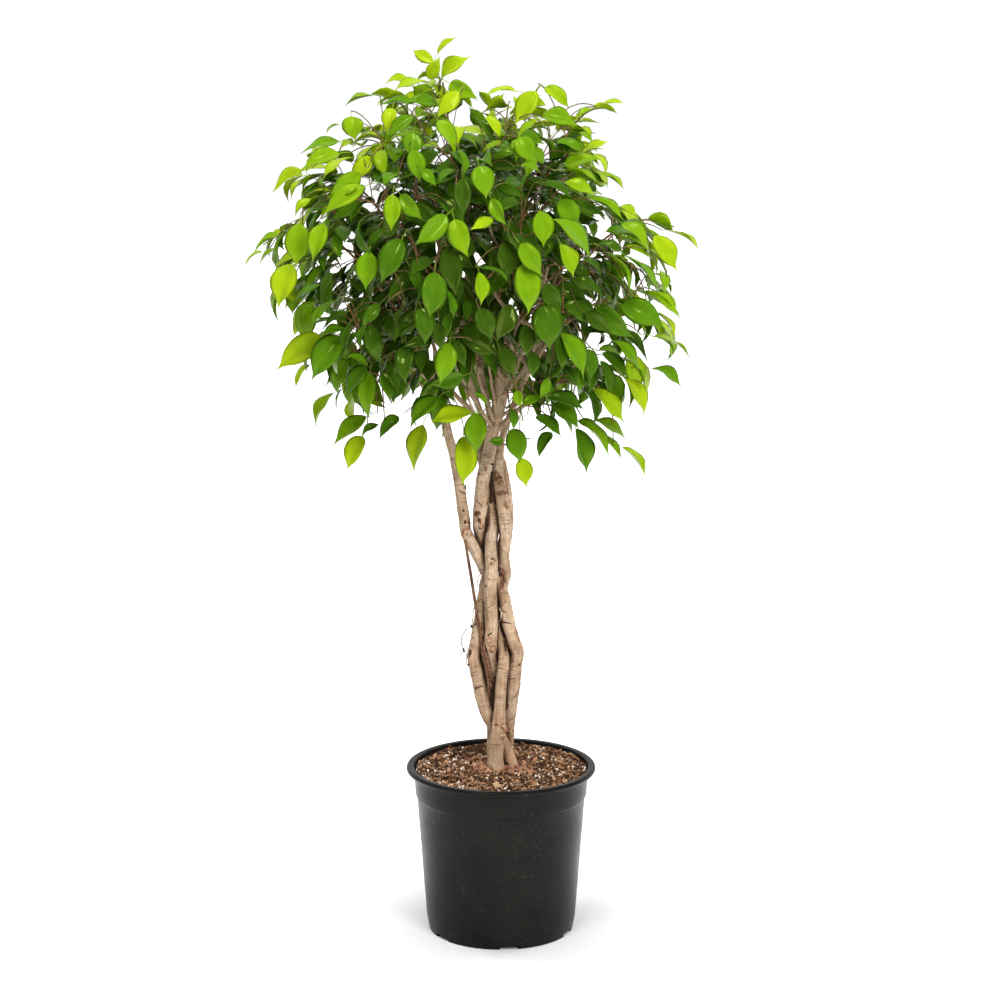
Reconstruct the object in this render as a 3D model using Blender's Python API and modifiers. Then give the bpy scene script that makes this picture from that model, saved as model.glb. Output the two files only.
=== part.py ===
"""A weeping fig with a braided trunk, in a black nursery pot.

Five young stems are plaited round each other, and stand close together at the foot. Each one carries
its own limbs into a round crown, and each limb ends in a leafy shoot that arches over. The origin is on
the pot's axis, at the surface that it stands on. The plant's front faces -Y. Units are metres, +Z is up.
"""

import itertools
import math

import bmesh
import bpy
import numpy as np
from mathutils import Matrix, Vector, noise
from mathutils.bvhtree import BVHTree

GAP = 0.0003
# The least room between two plaited stems, measured between their smooth forms, as a share of the thinner
# one's radius.
CLEARANCE = 0.18
# Two plaited stems are moved apart step by step, by at most this much at a time, mostly in depth.
SETTLE_ROUNDS = 160
SETTLE_STEP = 0.0020
SETTLE_GIVE = np.array([0.45, 1.0, 0.0])

# The pot.
POT_RADIUS = 0.1205
POT_HEIGHT = 0.2150
RIM_DEPTH = 0.0070
WALL = 0.0015
STEP_HEIGHT = 0.1763
FOOT_RADIUS = 0.0923
FOOT_WIDTH = 0.0038
RIM_BASE = POT_HEIGHT - RIM_DEPTH
# The heights where the wall's taper changes, and the outer radii at the foot, there and under the rim.
WALL_BENDS = (0.0166, STEP_HEIGHT - 0.0015, STEP_HEIGHT + 0.0015)
WALL_RADII = (FOOT_RADIUS, 0.0953, 0.1071, 0.1090, 0.1112)
# The rolled rim's section, as how far each point is in from the rim's edge and down from its top.
RIM_SECTION = (
    (0.0085, 0.0010), (0.0060, 0.0), (0.0025, 0.0), (0.0005, 0.0015), (0.0, 0.0040),
    (0.0008, RIM_DEPTH - 0.0004), (0.0028, RIM_DEPTH),
)
BASE_RAISE = 0.0050
PAD_RADIUS = 0.0320
NOTCHES = 6
NOTCH_WIDTH = 0.0240
NOTCH_HEIGHT = 0.0046
NOTCH_DEPTH = 0.0220
NOTCH_TURN = math.radians(-83.6)
DRAIN_RADIUS = 0.0050
DRAIN_RING = 0.0620
DRAIN_DEPTH = 0.0120
POT_STEPS = 48

# The potting mix.
MIX_LEVEL = 0.2095
MIX_MOUND = 0.0015
MIX_RINGS = (1.0, 0.8, 0.55, 0.3, 0.0)
MIX_UNEVEN = 0.0016
MIX_GRAIN = 60.0
MIX_STEPS = 32

# The crown.
CROWN_CENTRE = Vector((-0.037, 0.0, 0.854))
CROWN_MEAN = 0.256
# How far the leaves reach from the crown's centre, every 22.5 degrees round the front view from +X over +Z.
CROWN_REACH = (
    0.262, 0.234, 0.250, 0.262, 0.270, 0.270, 0.262, 0.260,
    0.262, 0.244, 0.258, 0.256, 0.248, 0.252, 0.270, 0.272,
)
# The shoots' tips are spaced on a spiral from the crown's top down, with heights as shares of its radius.
SHOOTS = 32
SPIRAL_TOP = 0.96
SPIRAL_DEPTH = 1.84
SPIRAL_TURN = 0.4
GOLDEN_ANGLE = math.pi * (3 - math.sqrt(5))
SHOOT_LENGTH = 0.120
SHOOT_SAG = 0.055
# How far inside the crown's outline a shoot's tip is, as its last leaf hangs on from there.
TIP_INSET = 0.025
LINE_SPACING = 0.007
FORK_HEIGHT = 0.66
LOWEST_LIMB = 0.64
LIMB_RADIUS = 0.0042
LIMB_TIP_RADIUS = 0.0020
TWIG_RADIUS = 0.0016
LEAVES_PER_SHOOT = 7
LEAF_LENGTH = 0.060
LEAF_WIDTH = 0.036
LEAF_THICKNESS = 0.0014
PETIOLE = 0.011
PETIOLE_WIDTH = 0.0022
# How a leaf may hang: its droop, and its size as a share of the full one.
LEAF_POSES = ((0.9, 1.0), (0.5, 1.0), (1.4, 0.9), (0.2, 0.85), (0.9, 0.7), (0.0, 0.65))
# How much more room a leaf is given than it fills.
GUARD = 0.0008
# The corners of a leaf's section, as shares of its half width and half thickness, in turn round it.
CORNERS = ((1, 1), (-1, 1), (-1, -1), (1, -1))

# The shares of its length, and the bows to one side, that a twig may have.
TWIG_SHARES = (1.0, 0.85, 0.7)
TWIG_SWINGS = (0.0, 0.01, -0.01, 0.02, -0.02, 0.03, -0.03)
# The ways that a limb may take: how far below its shoot it leaves the stem, as a share of how far out the
# shoot is, and how long it runs in the shoot's direction.
LIMB_ROUTES = [(share, curl) for share in (0.75, 0.5, 1.0, 0.3, 1.3) for curl in (0.45, 0.25, 0.6)]

# Each stem's centre line, from inside the mix up to the fork, as (x, y, z, radius).
STEMS = {
    "stem_front": (
        (-0.008, -0.006, 0.16, 0.0115), (-0.007, -0.0125, 0.207, 0.013), (-0.0051, -0.015, 0.247, 0.0116),
        (-0.0012, -0.015, 0.2995, 0.0098), (0.0002, -0.014, 0.339, 0.009), (-0.001, -0.004, 0.368, 0.0086),
        (-0.0035, 0.01, 0.404, 0.0085), (-0.0015, 0.011, 0.443, 0.0083), (0.0013, 0.003, 0.4815, 0.0082),
        (0.003, -0.005, 0.507, 0.0078), (0.0036, -0.007, 0.533, 0.008), (0.0018, -0.002, 0.558, 0.008),
        (-0.0037, 0.008, 0.59, 0.0078), (-0.0035, 0.009, 0.612, 0.0076), (0.004, 0.009, 0.645, 0.0072),
        (0.03, 0.028, 0.71, 0.0062), (0.062, 0.05, 0.79, 0.0048), (0.08, 0.062, 0.86, 0.0034),
    ),
    "stem_centre": (
        (-0.004, 0.02, 0.16, 0.0085), (-0.005, 0.02, 0.207, 0.0086), (-0.008, 0.016, 0.273, 0.0086),
        (-0.0114, 0.004, 0.3257, 0.0088), (-0.0118, -0.006, 0.352, 0.0088), (-0.012, -0.011, 0.378, 0.0086),
        (-0.012, -0.013, 0.43, 0.0084), (-0.0119, -0.01, 0.4815, 0.0082), (-0.0116, -0.006, 0.507, 0.008),
        (-0.0113, 0.0, 0.533, 0.008), (-0.014, 0.008, 0.558, 0.0078), (-0.019, 0.009, 0.59, 0.0076),
        (-0.023, 0.006, 0.62, 0.0074), (-0.0228, -0.001, 0.655, 0.0068), (-0.03, -0.01, 0.685, 0.0062),
        (-0.05, -0.04, 0.75, 0.0052), (-0.068, -0.072, 0.82, 0.004), (-0.074, -0.088, 0.875, 0.0032),
    ),
    "stem_left": (
        (0.012, -0.002, 0.16, 0.0082), (0.013, -0.004, 0.21, 0.0084), (0.0, 0.005, 0.247, 0.0084),
        (-0.0216, -0.001, 0.293, 0.0086), (-0.0303, -0.006, 0.345, 0.0086), (-0.0303, -0.006, 0.378, 0.0085),
        (-0.0227, 0.001, 0.4235, 0.0084), (-0.0176, 0.005, 0.443, 0.0082), (-0.008, 0.013, 0.475, 0.008),
        (0.005, 0.013, 0.507, 0.0078), (0.0075, 0.012, 0.545, 0.0076), (0.002, 0.018, 0.585, 0.0074),
        (-0.01, 0.02, 0.64, 0.007), (-0.022, 0.045, 0.7, 0.006), (-0.038, 0.078, 0.78, 0.0048),
        (-0.044, 0.098, 0.855, 0.0034),
    ),
    "stem_right": (
        (0.001, 0.006, 0.16, 0.006), (0.002, 0.01, 0.207, 0.0066), (0.007, 0.02, 0.247, 0.0078),
        (0.0152, 0.004, 0.313, 0.0086), (0.0164, -0.003, 0.3585, 0.0086), (0.0088, -0.008, 0.404, 0.0084),
        (0.0013, -0.003, 0.4365, 0.008), (-0.011, 0.006, 0.461, 0.0078), (-0.022, 0.002, 0.477, 0.0076),
        (-0.0314, -0.002, 0.4945, 0.0076), (-0.0413, -0.002, 0.52, 0.0074), (-0.0475, 0.0, 0.5457, 0.007),
        (-0.0512, 0.0, 0.571, 0.0066), (-0.0573, 0.0, 0.609, 0.0062), (-0.0672, 0.0, 0.647, 0.0058),
        (-0.0744, 0.0, 0.679, 0.0055), (-0.1, 0.008, 0.745, 0.0048), (-0.128, 0.01, 0.815, 0.0038),
        (-0.138, 0.008, 0.87, 0.0032),
    ),
    "stem_back": (
        (0.01, 0.024, 0.16, 0.008), (0.006, 0.03, 0.207, 0.0082), (0.003, 0.03, 0.28, 0.0084),
        (0.0, 0.022, 0.36, 0.0085), (-0.008, 0.02, 0.43, 0.0084), (-0.02, 0.016, 0.475, 0.0084),
        (-0.0255, 0.006, 0.507, 0.0085), (-0.0263, -0.006, 0.533, 0.0086), (-0.025, -0.01, 0.558, 0.0087),
        (-0.0224, -0.011, 0.59, 0.0086), (-0.0162, -0.011, 0.6155, 0.0084), (-0.0125, -0.011, 0.635, 0.008),
        (-0.0075, -0.012, 0.658, 0.0076), (0.0025, -0.013, 0.6935, 0.007), (0.016, -0.02, 0.7225, 0.0056),
        (0.04, -0.048, 0.79, 0.0046), (0.056, -0.072, 0.86, 0.0034),
    ),
    "aerial_root": (
        (-0.0145, -0.014, 0.308, 0.0014), (-0.019, -0.015, 0.35, 0.0019), (-0.028, -0.015, 0.4014, 0.002),
        (-0.037, -0.013, 0.46, 0.002), (-0.045, -0.012, 0.51, 0.0018),
    ),
}
# The compass direction, in degrees from +X, of the part of the crown that each stem's limbs fill.
SECTORS = {
    "stem_front": 35,
    "stem_left": 105,
    "stem_right": 177,
    "stem_centre": 242,
    "stem_back": 312,
}
# Shoots that stand out of the round crown: the point where each one's last leaf hangs.
STRAY_TIPS = (
    (-0.078, -0.03, 1.100),
    (0.125, -0.02, 1.045),
    (0.222, -0.03, 0.895),
    (0.205, 0.03, 0.760),
    (0.160, -0.04, 0.640),
    (-0.290, -0.02, 0.880),
    (-0.180, -0.06, 0.650),
    (-0.070, -0.12, 0.660),
    (0.030, -0.10, 0.655),
)


def clear_scene():
    for item in list(bpy.data.objects):
        bpy.data.objects.remove(item)


def new_collection(name):
    collection = bpy.data.collections.new(name)
    bpy.context.scene.collection.children.link(collection)
    return collection


def material(name, colour, roughness):
    made = bpy.data.materials.new(name)
    made.use_nodes = True
    made.diffuse_color = (*colour, 1.0)
    shader = made.node_tree.nodes["Principled BSDF"]
    shader.inputs["Base Color"].default_value = (*colour, 1.0)
    shader.inputs["Roughness"].default_value = roughness
    shader.inputs["Metallic"].default_value = 0.0
    return made


def object_from(mesh_edit, name, collection, finish=None):
    mesh = bpy.data.meshes.new(name)
    mesh_edit.to_mesh(mesh)
    mesh_edit.free()
    item = bpy.data.objects.new(name, mesh)
    collection.objects.link(item)
    if finish:
        mesh.materials.append(finish)
    return item


def make_cutter(item):
    item.hide_render = True
    item.display_type = "WIRE"
    return item


def combine(item, other, operation):
    modifier = item.modifiers.new(f"{operation.lower()} {other.name}", "BOOLEAN")
    modifier.operation = operation
    modifier.object = other


def smooth_line(points, spacing):
    """Points at an even spacing on a Catmull-Rom curve through the given ones, with their radii."""
    points = np.array(points, float)
    ends = np.vstack([2 * points[0] - points[1], points, 2 * points[-1] - points[-2]])
    fine = []
    for a, b, c, d in zip(ends, ends[1:], ends[2:], ends[3:]):
        for t in np.arange(0, 1, 0.02):
            curve = 2 * b + (c - a) * t + (2 * a - 5 * b + 4 * c - d) * t**2
            fine.append((curve + (3 * b - a - 3 * c + d) * t**3) / 2)
    fine = np.array([*fine, points[-1]])
    along = np.append(0, np.cumsum(np.linalg.norm(np.diff(fine[:, :3], axis=0), axis=1)))
    wanted = np.linspace(0, along[-1], max(2, round(along[-1] / spacing) + 1))
    return np.column_stack([np.interp(wanted, along, column) for column in fine.T])


def thinned(line):
    """The rings that a stem needs: every second point in the braid, and every fourth above the fork."""
    kept = [i for i in range(0, len(line) - 1, 2) if line[i, 2] < FORK_HEIGHT or i % 4 == 0]
    return line[[*kept, len(line) - 1]]


def make_well(name, line, cutters):
    """A cutter a little larger than the buried stretch of a stem, for the well that it stands in."""
    buried = line[line[:, 2] < MIX_LEVEL + 0.02].copy()
    buried[0, 2] -= GAP
    return make_cutter(tube(f"{name} well", buried, cutters, swell=GAP))


def eased(push):
    """A push spread along a stem, so that the stem bends instead of kinking."""
    for _ in range(6):
        padded = np.vstack([push[:1], push, push[-1:]])
        push = (padded[:-2] + 2 * padded[1:-1] + padded[2:]) / 4
    return push


def settle(lines):
    """Moves crossing stems apart until each pair clears."""
    for _ in range(SETTLE_ROUNDS):
        pushes = [np.zeros((len(line), 3)) for line in lines]
        for i, first in enumerate(lines):
            for j, second in enumerate(lines[:i]):
                apart = first[:, None, :3] - second[None, :, :3]
                distance = np.linalg.norm(apart, axis=2)
                room = CLEARANCE * np.minimum(first[:, None, 3], second[None, :, 3])
                short = first[:, None, 3] + second[None, :, 3] + room - distance
                for who, axis, sign in ((i, 1, 1), (j, 0, -1)):
                    worst = short.argmax(axis)
                    at = (np.arange(len(worst)), worst) if axis == 1 else (worst, np.arange(len(worst)))
                    depth = np.clip(short[at], 0, SETTLE_STEP)
                    pushes[who] += sign * apart[at] / distance[at][:, None] * depth[:, None] * SETTLE_GIVE
        for line, push in zip(lines, pushes):
            line[:, :3] += 0.8 * eased(push) + 0.2 * push
    return lines


def tube(name, line, collection, finish=None, swell=0.0, sides=8):
    """A closed tube along the line, whose fourth column is its radius, as a mesh with its caps welded."""
    curve = bpy.data.curves.new(name, "CURVE")
    curve.dimensions = "3D"
    curve.bevel_depth = 1.0
    curve.bevel_resolution = (sides - 4) // 2
    curve.use_fill_caps = True
    spline = curve.splines.new("POLY")
    spline.points.add(len(line) - 1)
    for point, (x, y, z, radius) in zip(spline.points, line):
        point.co = (x, y, z, 1.0)
        point.radius = radius + swell
    guide = bpy.data.objects.new(f"{name} guide", curve)
    collection.objects.link(guide)
    graph = bpy.context.evaluated_depsgraph_get()
    mesh = bpy.data.meshes.new_from_object(guide.evaluated_get(graph))
    bpy.data.objects.remove(guide)
    edit = bmesh.new()
    edit.from_mesh(mesh)
    bpy.data.meshes.remove(mesh)
    bmesh.ops.remove_doubles(edit, verts=edit.verts, dist=1e-6)
    bmesh.ops.recalc_face_normals(edit, faces=edit.faces)
    for face in edit.faces:
        face.smooth = len(face.verts) == 4
    return object_from(edit, name, collection, finish)


def wall_radius(height, inside):
    """The pot's wall, which tapers, and is a little wider above the step."""
    outer = float(np.interp(height, (0.0, *WALL_BENDS, RIM_BASE), WALL_RADII))
    return outer - WALL if inside else outer


def make_pot(collection, cutters, finish):
    base_top = BASE_RAISE + WALL
    inner = [(0.0, base_top)]
    inner += [(wall_radius(z, True), z) for z in (base_top, *WALL_BENDS)]
    inner += [(wall_radius(RIM_BASE, True), RIM_BASE + 0.0025)]
    rim = [(POT_RADIUS - inward, POT_HEIGHT - down) for inward, down in RIM_SECTION]
    outer = [
        (wall_radius(RIM_BASE, False) + 0.0010, RIM_BASE - 0.0002),
        (wall_radius(RIM_BASE - 0.0015, False), RIM_BASE - 0.0015),
        *((wall_radius(z, False), z) for z in reversed(WALL_BENDS)),
        (FOOT_RADIUS + 0.0018, BASE_RAISE),
        (FOOT_RADIUS, 0.0),
        (FOOT_RADIUS - FOOT_WIDTH, 0.0),
        (FOOT_RADIUS - FOOT_WIDTH - 0.0010, BASE_RAISE),
        (PAD_RADIUS + 0.0020, BASE_RAISE),
        (PAD_RADIUS, 0.0),
        (0.0, 0.0),
    ]
    profile = inner + rim + outer
    links = [(i, i + 1) for i in range(len(profile) - 1)]
    mesh = bpy.data.meshes.new("pot")
    mesh.from_pydata([(r, 0.0, z) for r, z in profile], links, [])
    pot = bpy.data.objects.new("pot", mesh)
    collection.objects.link(pot)
    mesh.materials.append(finish)
    turn = pot.modifiers.new("turn", "SCREW")
    turn.steps = turn.render_steps = POT_STEPS
    turn.use_merge_vertices = True
    turn.merge_threshold = 0.00001
    for index in range(NOTCHES):
        angle = NOTCH_TURN + index * math.tau / NOTCHES
        combine(pot, notch_cutter(cutters, index, angle), "DIFFERENCE")
        combine(pot, drain_cutter(cutters, index, angle + math.pi / NOTCHES), "DIFFERENCE")
    return pot


def notch_cutter(cutters, index, angle):
    edit = bmesh.new()
    bmesh.ops.create_cube(edit, size=1.0)
    size = Matrix.Diagonal((NOTCH_DEPTH, NOTCH_WIDTH, 2 * NOTCH_HEIGHT, 1.0))
    place = Matrix.Rotation(angle, 4, "Z") @ Matrix.Translation((FOOT_RADIUS - 0.001, 0.0, 0.0))
    bmesh.ops.transform(edit, matrix=place @ size, verts=edit.verts)
    return make_cutter(object_from(edit, f"foot notch {index + 1}", cutters))


def drain_cutter(cutters, index, angle):
    edit = bmesh.new()
    bmesh.ops.create_cone(
        edit, cap_ends=True, segments=12, radius1=DRAIN_RADIUS, radius2=DRAIN_RADIUS, depth=DRAIN_DEPTH
    )
    place = Matrix.Rotation(angle, 4, "Z") @ Matrix.Translation((DRAIN_RING, 0.0, BASE_RAISE))
    bmesh.ops.transform(edit, matrix=place, verts=edit.verts)
    return make_cutter(object_from(edit, f"drain hole {index + 1}", cutters))


def make_potting_mix(collection, finish, wells):
    """The mix fills the pot, and its top is a little uneven. Each stem stands in a well of its own."""
    floor = BASE_RAISE + WALL + GAP
    side = [(wall_radius(z, True) - 2 * GAP, z) for z in (floor, *WALL_BENDS)]
    edge = wall_radius(MIX_LEVEL, True) - 3 * GAP
    top = [(edge * share, MIX_LEVEL + MIX_MOUND * (1 - share)) for share in MIX_RINGS]
    edit = bmesh.new()
    verts = [edit.verts.new((r, 0.0, z)) for r, z in [(0.0, floor), *side, *top]]
    geom = verts + [edit.edges.new(pair) for pair in zip(verts, verts[1:])]
    bmesh.ops.spin(
        edit, geom=geom, cent=(0, 0, 0), axis=(0, 0, 1), angle=math.tau, steps=MIX_STEPS, use_merge=True
    )
    bmesh.ops.remove_doubles(edit, verts=edit.verts, dist=1e-5)
    bmesh.ops.recalc_face_normals(edit, faces=edit.faces)
    for vert in edit.verts:
        if vert.co.z > MIX_LEVEL - 0.0001 and vert.co.xy.length < edge - 0.001:
            vert.co.z += MIX_UNEVEN * noise.noise(vert.co * MIX_GRAIN)
    mix = object_from(edit, "potting_mix", collection, finish)
    for well in wells:
        combine(mix, well, "DIFFERENCE")
    return mix


def reach(direction):
    """How far the crown's leaves go from its centre in a direction."""
    turn = math.atan2(direction.z, direction.x) / math.tau * len(CROWN_REACH) % len(CROWN_REACH)
    around = (*CROWN_REACH, CROWN_REACH[0])
    outline = float(np.interp(turn, range(len(around)), around))
    return CROWN_MEAN + (outline - CROWN_MEAN) * math.hypot(direction.x, direction.z)


def shoot_tips():
    """The points that the shoots arch over to: a spiral over the crown, and the strays."""
    tips = []
    for index in range(SHOOTS):
        height = SPIRAL_TOP - SPIRAL_DEPTH * (index + 0.5) / SHOOTS
        turn = index * GOLDEN_ANGLE + SPIRAL_TURN
        flat = math.sqrt(1 - height**2)
        direction = Vector((flat * math.cos(turn), flat * math.sin(turn), height))
        tip = CROWN_CENTRE + direction * (reach(direction) - TIP_INSET)
        tips.append(tip + Vector((0.0, 0.0, 0.25 * LEAF_LENGTH)))
    return tips + [Vector(tip) for tip in STRAY_TIPS]


def nearest_stems(point):
    """The two stems whose parts of the crown are nearest to a point, the nearer one first."""
    heading = math.degrees(math.atan2(point.y, point.x + 0.02))
    return sorted(SECTORS, key=lambda name: abs((heading - SECTORS[name] + 180) % 360 - 180))[:2]


def shoot_line(tip, length, swing):
    """A shoot from its seat on a limb to its tip: it leaves outward and up, bows aside, and sags over."""
    out = (tip - CROWN_CENTRE).normalized()
    aside = out.cross(Vector((0.0, 0.0, 1.0))).normalized()
    lift = Vector((0.0, 0.0, SHOOT_SAG))
    seat = tip - out * length - 0.25 * lift
    points = []
    for index in range(LEAVES_PER_SHOOT + 1):
        t = index / LEAVES_PER_SHOOT
        rise = 2.2 * t * (1 - t)
        bow = 6.75 * t * t * (1 - t)
        points.append(seat.lerp(tip, t) + lift * rise + aside * swing * bow)
    return points


def limb_line(leader, points, share, curl):
    """A limb from inside its stem to a shoot's seat, which it meets in the shoot's own direction."""
    heading = (points[1] - points[0]).normalized()
    seat = points[0] - heading * GAP
    height = seat.z - share * (seat.xy - Vector((-0.02, 0.0))).length
    height = min(max(height, LOWEST_LIMB), leader[-1][2] - 0.012)
    start = min(leader, key=lambda point: abs(point[2] - height))
    root = Vector(start[:3])
    bend = seat - heading * curl * (seat - root).length
    limb = []
    for t in (0.0, 0.4, 0.75, 0.97, 1.0):
        where = root * (1 - t) ** 2 + bend * 2 * t * (1 - t) + seat * t * t
        limb.append((*where, min(0.7 * start[3], LIMB_RADIUS) * (1 - t) + LIMB_TIP_RADIUS * t))
    return limb


def leaf_sections(root, along, out, size, hang):
    """A leaf's sections from its petiole to its point, as (centre, half width, half thickness, axis)."""
    down = Vector((0.0, 0.0, -1.0))
    stalk = (out * 0.8 + along * 0.35 + down * 0.2).normalized()
    blade = (out * 0.5 + along * 0.35 + down * hang).normalized()
    neck = root + stalk * PETIOLE
    widest = neck + blade * LEAF_LENGTH * 0.42 * size
    point = widest + (blade + down * 0.3).normalized() * LEAF_LENGTH * 0.60 * size
    return [
        (neck, 0.5 * PETIOLE_WIDTH, 0.5 * LEAF_THICKNESS, (stalk + blade).normalized()),
        (widest, 0.5 * LEAF_WIDTH * size, 0.5 * LEAF_THICKNESS, blade),
        (point, 0.0, 0.0, blade),
    ]


def section_corners(centre, half, thick, axis, along):
    """The four corners of a leaf's section, in turn round its axis."""
    across = (along - axis * along.dot(axis)).normalized()
    through = axis.cross(across)
    return [centre + across * half * a + through * thick * b for a, b in CORNERS]


def leaf_guard(sections, along):
    """A closed shape a little larger than a leaf, to find out what it would touch."""
    corners = []
    for centre, half, thick, axis in sections:
        corners += section_corners(centre, half + GUARD, thick + GUARD, axis, along)
    faces = [(3, 2, 1, 0), (-4, -3, -2, -1)]
    for low in range(0, len(corners) - 4, 4):
        faces += [(low + k, low + (k + 1) % 4, low + 4 + (k + 1) % 4, low + 4 + k) for k in range(4)]
    faces = [[index % len(corners) for index in face] for face in faces]
    return BVHTree.FromPolygons(corners, faces)


def grow_leaf(edit, face, along, sections):
    """Grows a leaf out of one side face of a twig, section by section, and ends it in a point."""
    face.normal_update()
    facing = face.normal.copy()
    middle = face.calc_center_median()
    for centre, half, thick, axis in sections:
        face = bmesh.ops.extrude_discrete_faces(edit, faces=[face])["faces"][0]
        beside = facing.cross(along)
        arms = [vert.co - middle for vert in face.verts]
        first = max(range(4), key=lambda k: sum(
            arms[(k + i) % 4].dot(along * a + beside * b) for i, (a, b) in enumerate(CORNERS)
        ))
        corners = section_corners(centre, half, thick, axis, along)
        for i, corner in enumerate(corners):
            face.verts[(first + i) % 4].co = corner
        middle, facing = centre, axis
    bmesh.ops.pointmerge(edit, verts=list(face.verts), merge_co=middle)


def twig_frame(points, index):
    """The twig's direction at one of its points, and the two directions square to it."""
    ahead = points[min(index + 1, len(points) - 1)] - points[max(index - 1, 0)]
    along = ahead.normalized()
    beside = along.cross(Vector((0.0, 0.0, 1.0))).normalized()
    return along, beside, beside.cross(along)


def make_twig(points, swell=0.0):
    """A three-sided twig, extruded from point to point, and the side faces of each of its stretches."""
    edit = bmesh.new()
    ring = bmesh.ops.create_circle(edit, cap_ends=True, segments=3, radius=1.0)["verts"]
    cap = ring[0].link_faces[0]
    sides = []
    for index, point in enumerate(points):
        _, beside, above = twig_frame(points, index)
        before = set(edit.faces)
        if index:
            cap = bmesh.ops.extrude_discrete_faces(edit, faces=[cap])["faces"][0]
            sides.append([face for face in edit.faces if face not in before and face is not cap])
        radius = TWIG_RADIUS * (1 - 0.5 * index / len(points)) + swell
        for vert, degrees in zip(cap.verts, (270, 30, 150)):
            angle = math.radians(degrees)
            vert.co = point + (beside * math.cos(angle) + above * math.sin(angle)) * radius
    bmesh.ops.contextual_create(edit, geom=[edge for edge in edit.edges if edge.is_boundary])
    bmesh.ops.recalc_face_normals(edit, faces=edit.faces)
    return edit, sides


def lay_out_twigs(tips, stems):
    """Lays each twig where it clears the stems and the other twigs, as long and straight as it can be."""
    twigs = []
    keep_clear = [solid_tree(stem) for stem in stems.values()]
    for tip in tips:
        for share, swing in itertools.product(TWIG_SHARES, TWIG_SWINGS):
            points = shoot_line(tip, SHOOT_LENGTH * share, swing)
            guard = BVHTree.FromBMesh(make_twig(points, GUARD)[0])
            if not overlaps_any(guard, keep_clear):
                break
        twigs.append((points, *make_twig(points)))
        keep_clear.append(guard)
    return twigs


def overlaps_any(shape, others):
    return any(shape.overlap(other) for other in others)


def place_leaves(points, sides, own, others):
    """Picks a side and a pose for each stretch of a twig, so that its leaf touches nothing."""
    chosen = []
    for index, faces in enumerate(sides):
        along, beside, _ = twig_frame(points, index)
        root = (points[index] + points[index + 1]) / 2
        half = (points[index + 1] - points[index]).length / 2
        for (hang, size), turn in itertools.product(LEAF_POSES, ((1, -1), (-1, 1))[index % 2]):
            sections = leaf_sections(root, along, beside * turn, size, hang)
            neck, width, thick, axis = sections[0]
            whole = leaf_guard([(root, half, thick, axis), *sections], along)
            blade = leaf_guard([(root.lerp(neck, 0.6), width, thick, axis), *sections], along)
            if not overlaps_any(whole, others) and not blade.overlap(own):
                others.append(whole)
                facing = beside * turn - Vector((0.0, 0.0, 0.3))
                face = max(faces, key=lambda side: side.normal.dot(facing))
                chosen.append((face, along, sections))
                break
    return chosen


def solid_tree(item):
    return BVHTree.FromObject(item, bpy.context.evaluated_depsgraph_get())


def grow_limbs(stems, leaders, twigs, cutters):
    """Joins a limb to its stem for each twig, by the first route that misses the other stems and twigs."""
    solids = {name: [solid_tree(stem)] for name, stem in stems.items()}
    trees = [BVHTree.FromBMesh(edit) for _, edit, _ in twigs]
    for number, (points, *_) in enumerate(twigs):
        others = trees[:number] + trees[number + 1:]
        for owner, (share, curl) in itertools.product(nearest_stems(points[0]), LIMB_ROUTES):
            route = limb_line(leaders[owner], points, share, curl)
            limb = make_cutter(tube(f"limb {number + 1}", route, cutters, sides=6))
            tree = solid_tree(limb)
            foreign = [solid for name in solids if name != owner for solid in solids[name]]
            if not overlaps_any(tree, others + foreign):
                break
            bpy.data.objects.remove(limb)
        else:
            raise ValueError(f"no way through to shoot {number + 1}")
        solids[owner].append(tree)
        combine(stems[owner], limb, "UNION")


def make_shoots(collection, finish, stems, twigs):
    """Each leaf grows where it touches no stem, twig or other leaf."""
    solids = [solid_tree(stem) for stem in stems.values()]
    trees = [BVHTree.FromBMesh(edit) for _, edit, _ in twigs]
    leaves = []
    for number, (points, edit, sides) in enumerate(twigs, 1):
        others = solids + trees[:number - 1] + trees[number:] + leaves
        chosen = place_leaves(points, sides, trees[number - 1], others)
        leaves = others[len(solids) + len(trees) - 1:]
        for face, along, sections in chosen:
            grow_leaf(edit, face, along, sections)
        bmesh.ops.recalc_face_normals(edit, faces=edit.faces)
        object_from(edit, f"leafy_shoot_{number:02d}", collection, finish)


def main():
    clear_scene()
    plant = new_collection("weeping_fig")
    cutters = new_collection("cutters")
    plastic = material("black plastic", (0.028, 0.026, 0.025), 0.5)
    compost = material("potting mix", (0.16, 0.085, 0.045), 0.95)
    bark = material("fig bark", (0.44, 0.33, 0.23), 0.75)
    root_bark = material("root bark", (0.25, 0.13, 0.07), 0.8)
    foliage = material("fig leaf", (0.10, 0.27, 0.01), 0.35)
    make_pot(plant, cutters, plastic)

    settled = settle([smooth_line(points, LINE_SPACING) for points in STEMS.values()])
    lines = {name: thinned(line) for name, line in zip(STEMS, settled)}
    finishes = {name: bark if name in SECTORS else root_bark for name in STEMS}
    stems = {name: tube(name, line, plant, finishes[name]) for name, line in lines.items()}
    wells = [make_well(name, lines[name], cutters) for name in SECTORS]
    make_potting_mix(plant, compost, wells)

    twigs = lay_out_twigs(shoot_tips(), stems)
    grow_limbs(stems, lines, twigs, cutters)
    make_shoots(plant, foliage, stems, twigs)


main()
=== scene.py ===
# %% [markdown]
# # A weeping fig with a braided trunk, in a nursery pot
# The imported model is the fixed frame: five plaited stems, a thin root, a pot, its potting mix and the leafy shoots.
# This lesson dresses each of them. The pieces are made with Blender's own mesh operators and get node materials, so
# that the plant looks right from every side. Units are metres, +Z is up, and the plant's front faces -Y.
# %% Load the frame
import math
import random

import bmesh
import bpy
import numpy as np
from mathutils import Matrix, Vector, noise
from mathutils.bvhtree import BVHTree


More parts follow.
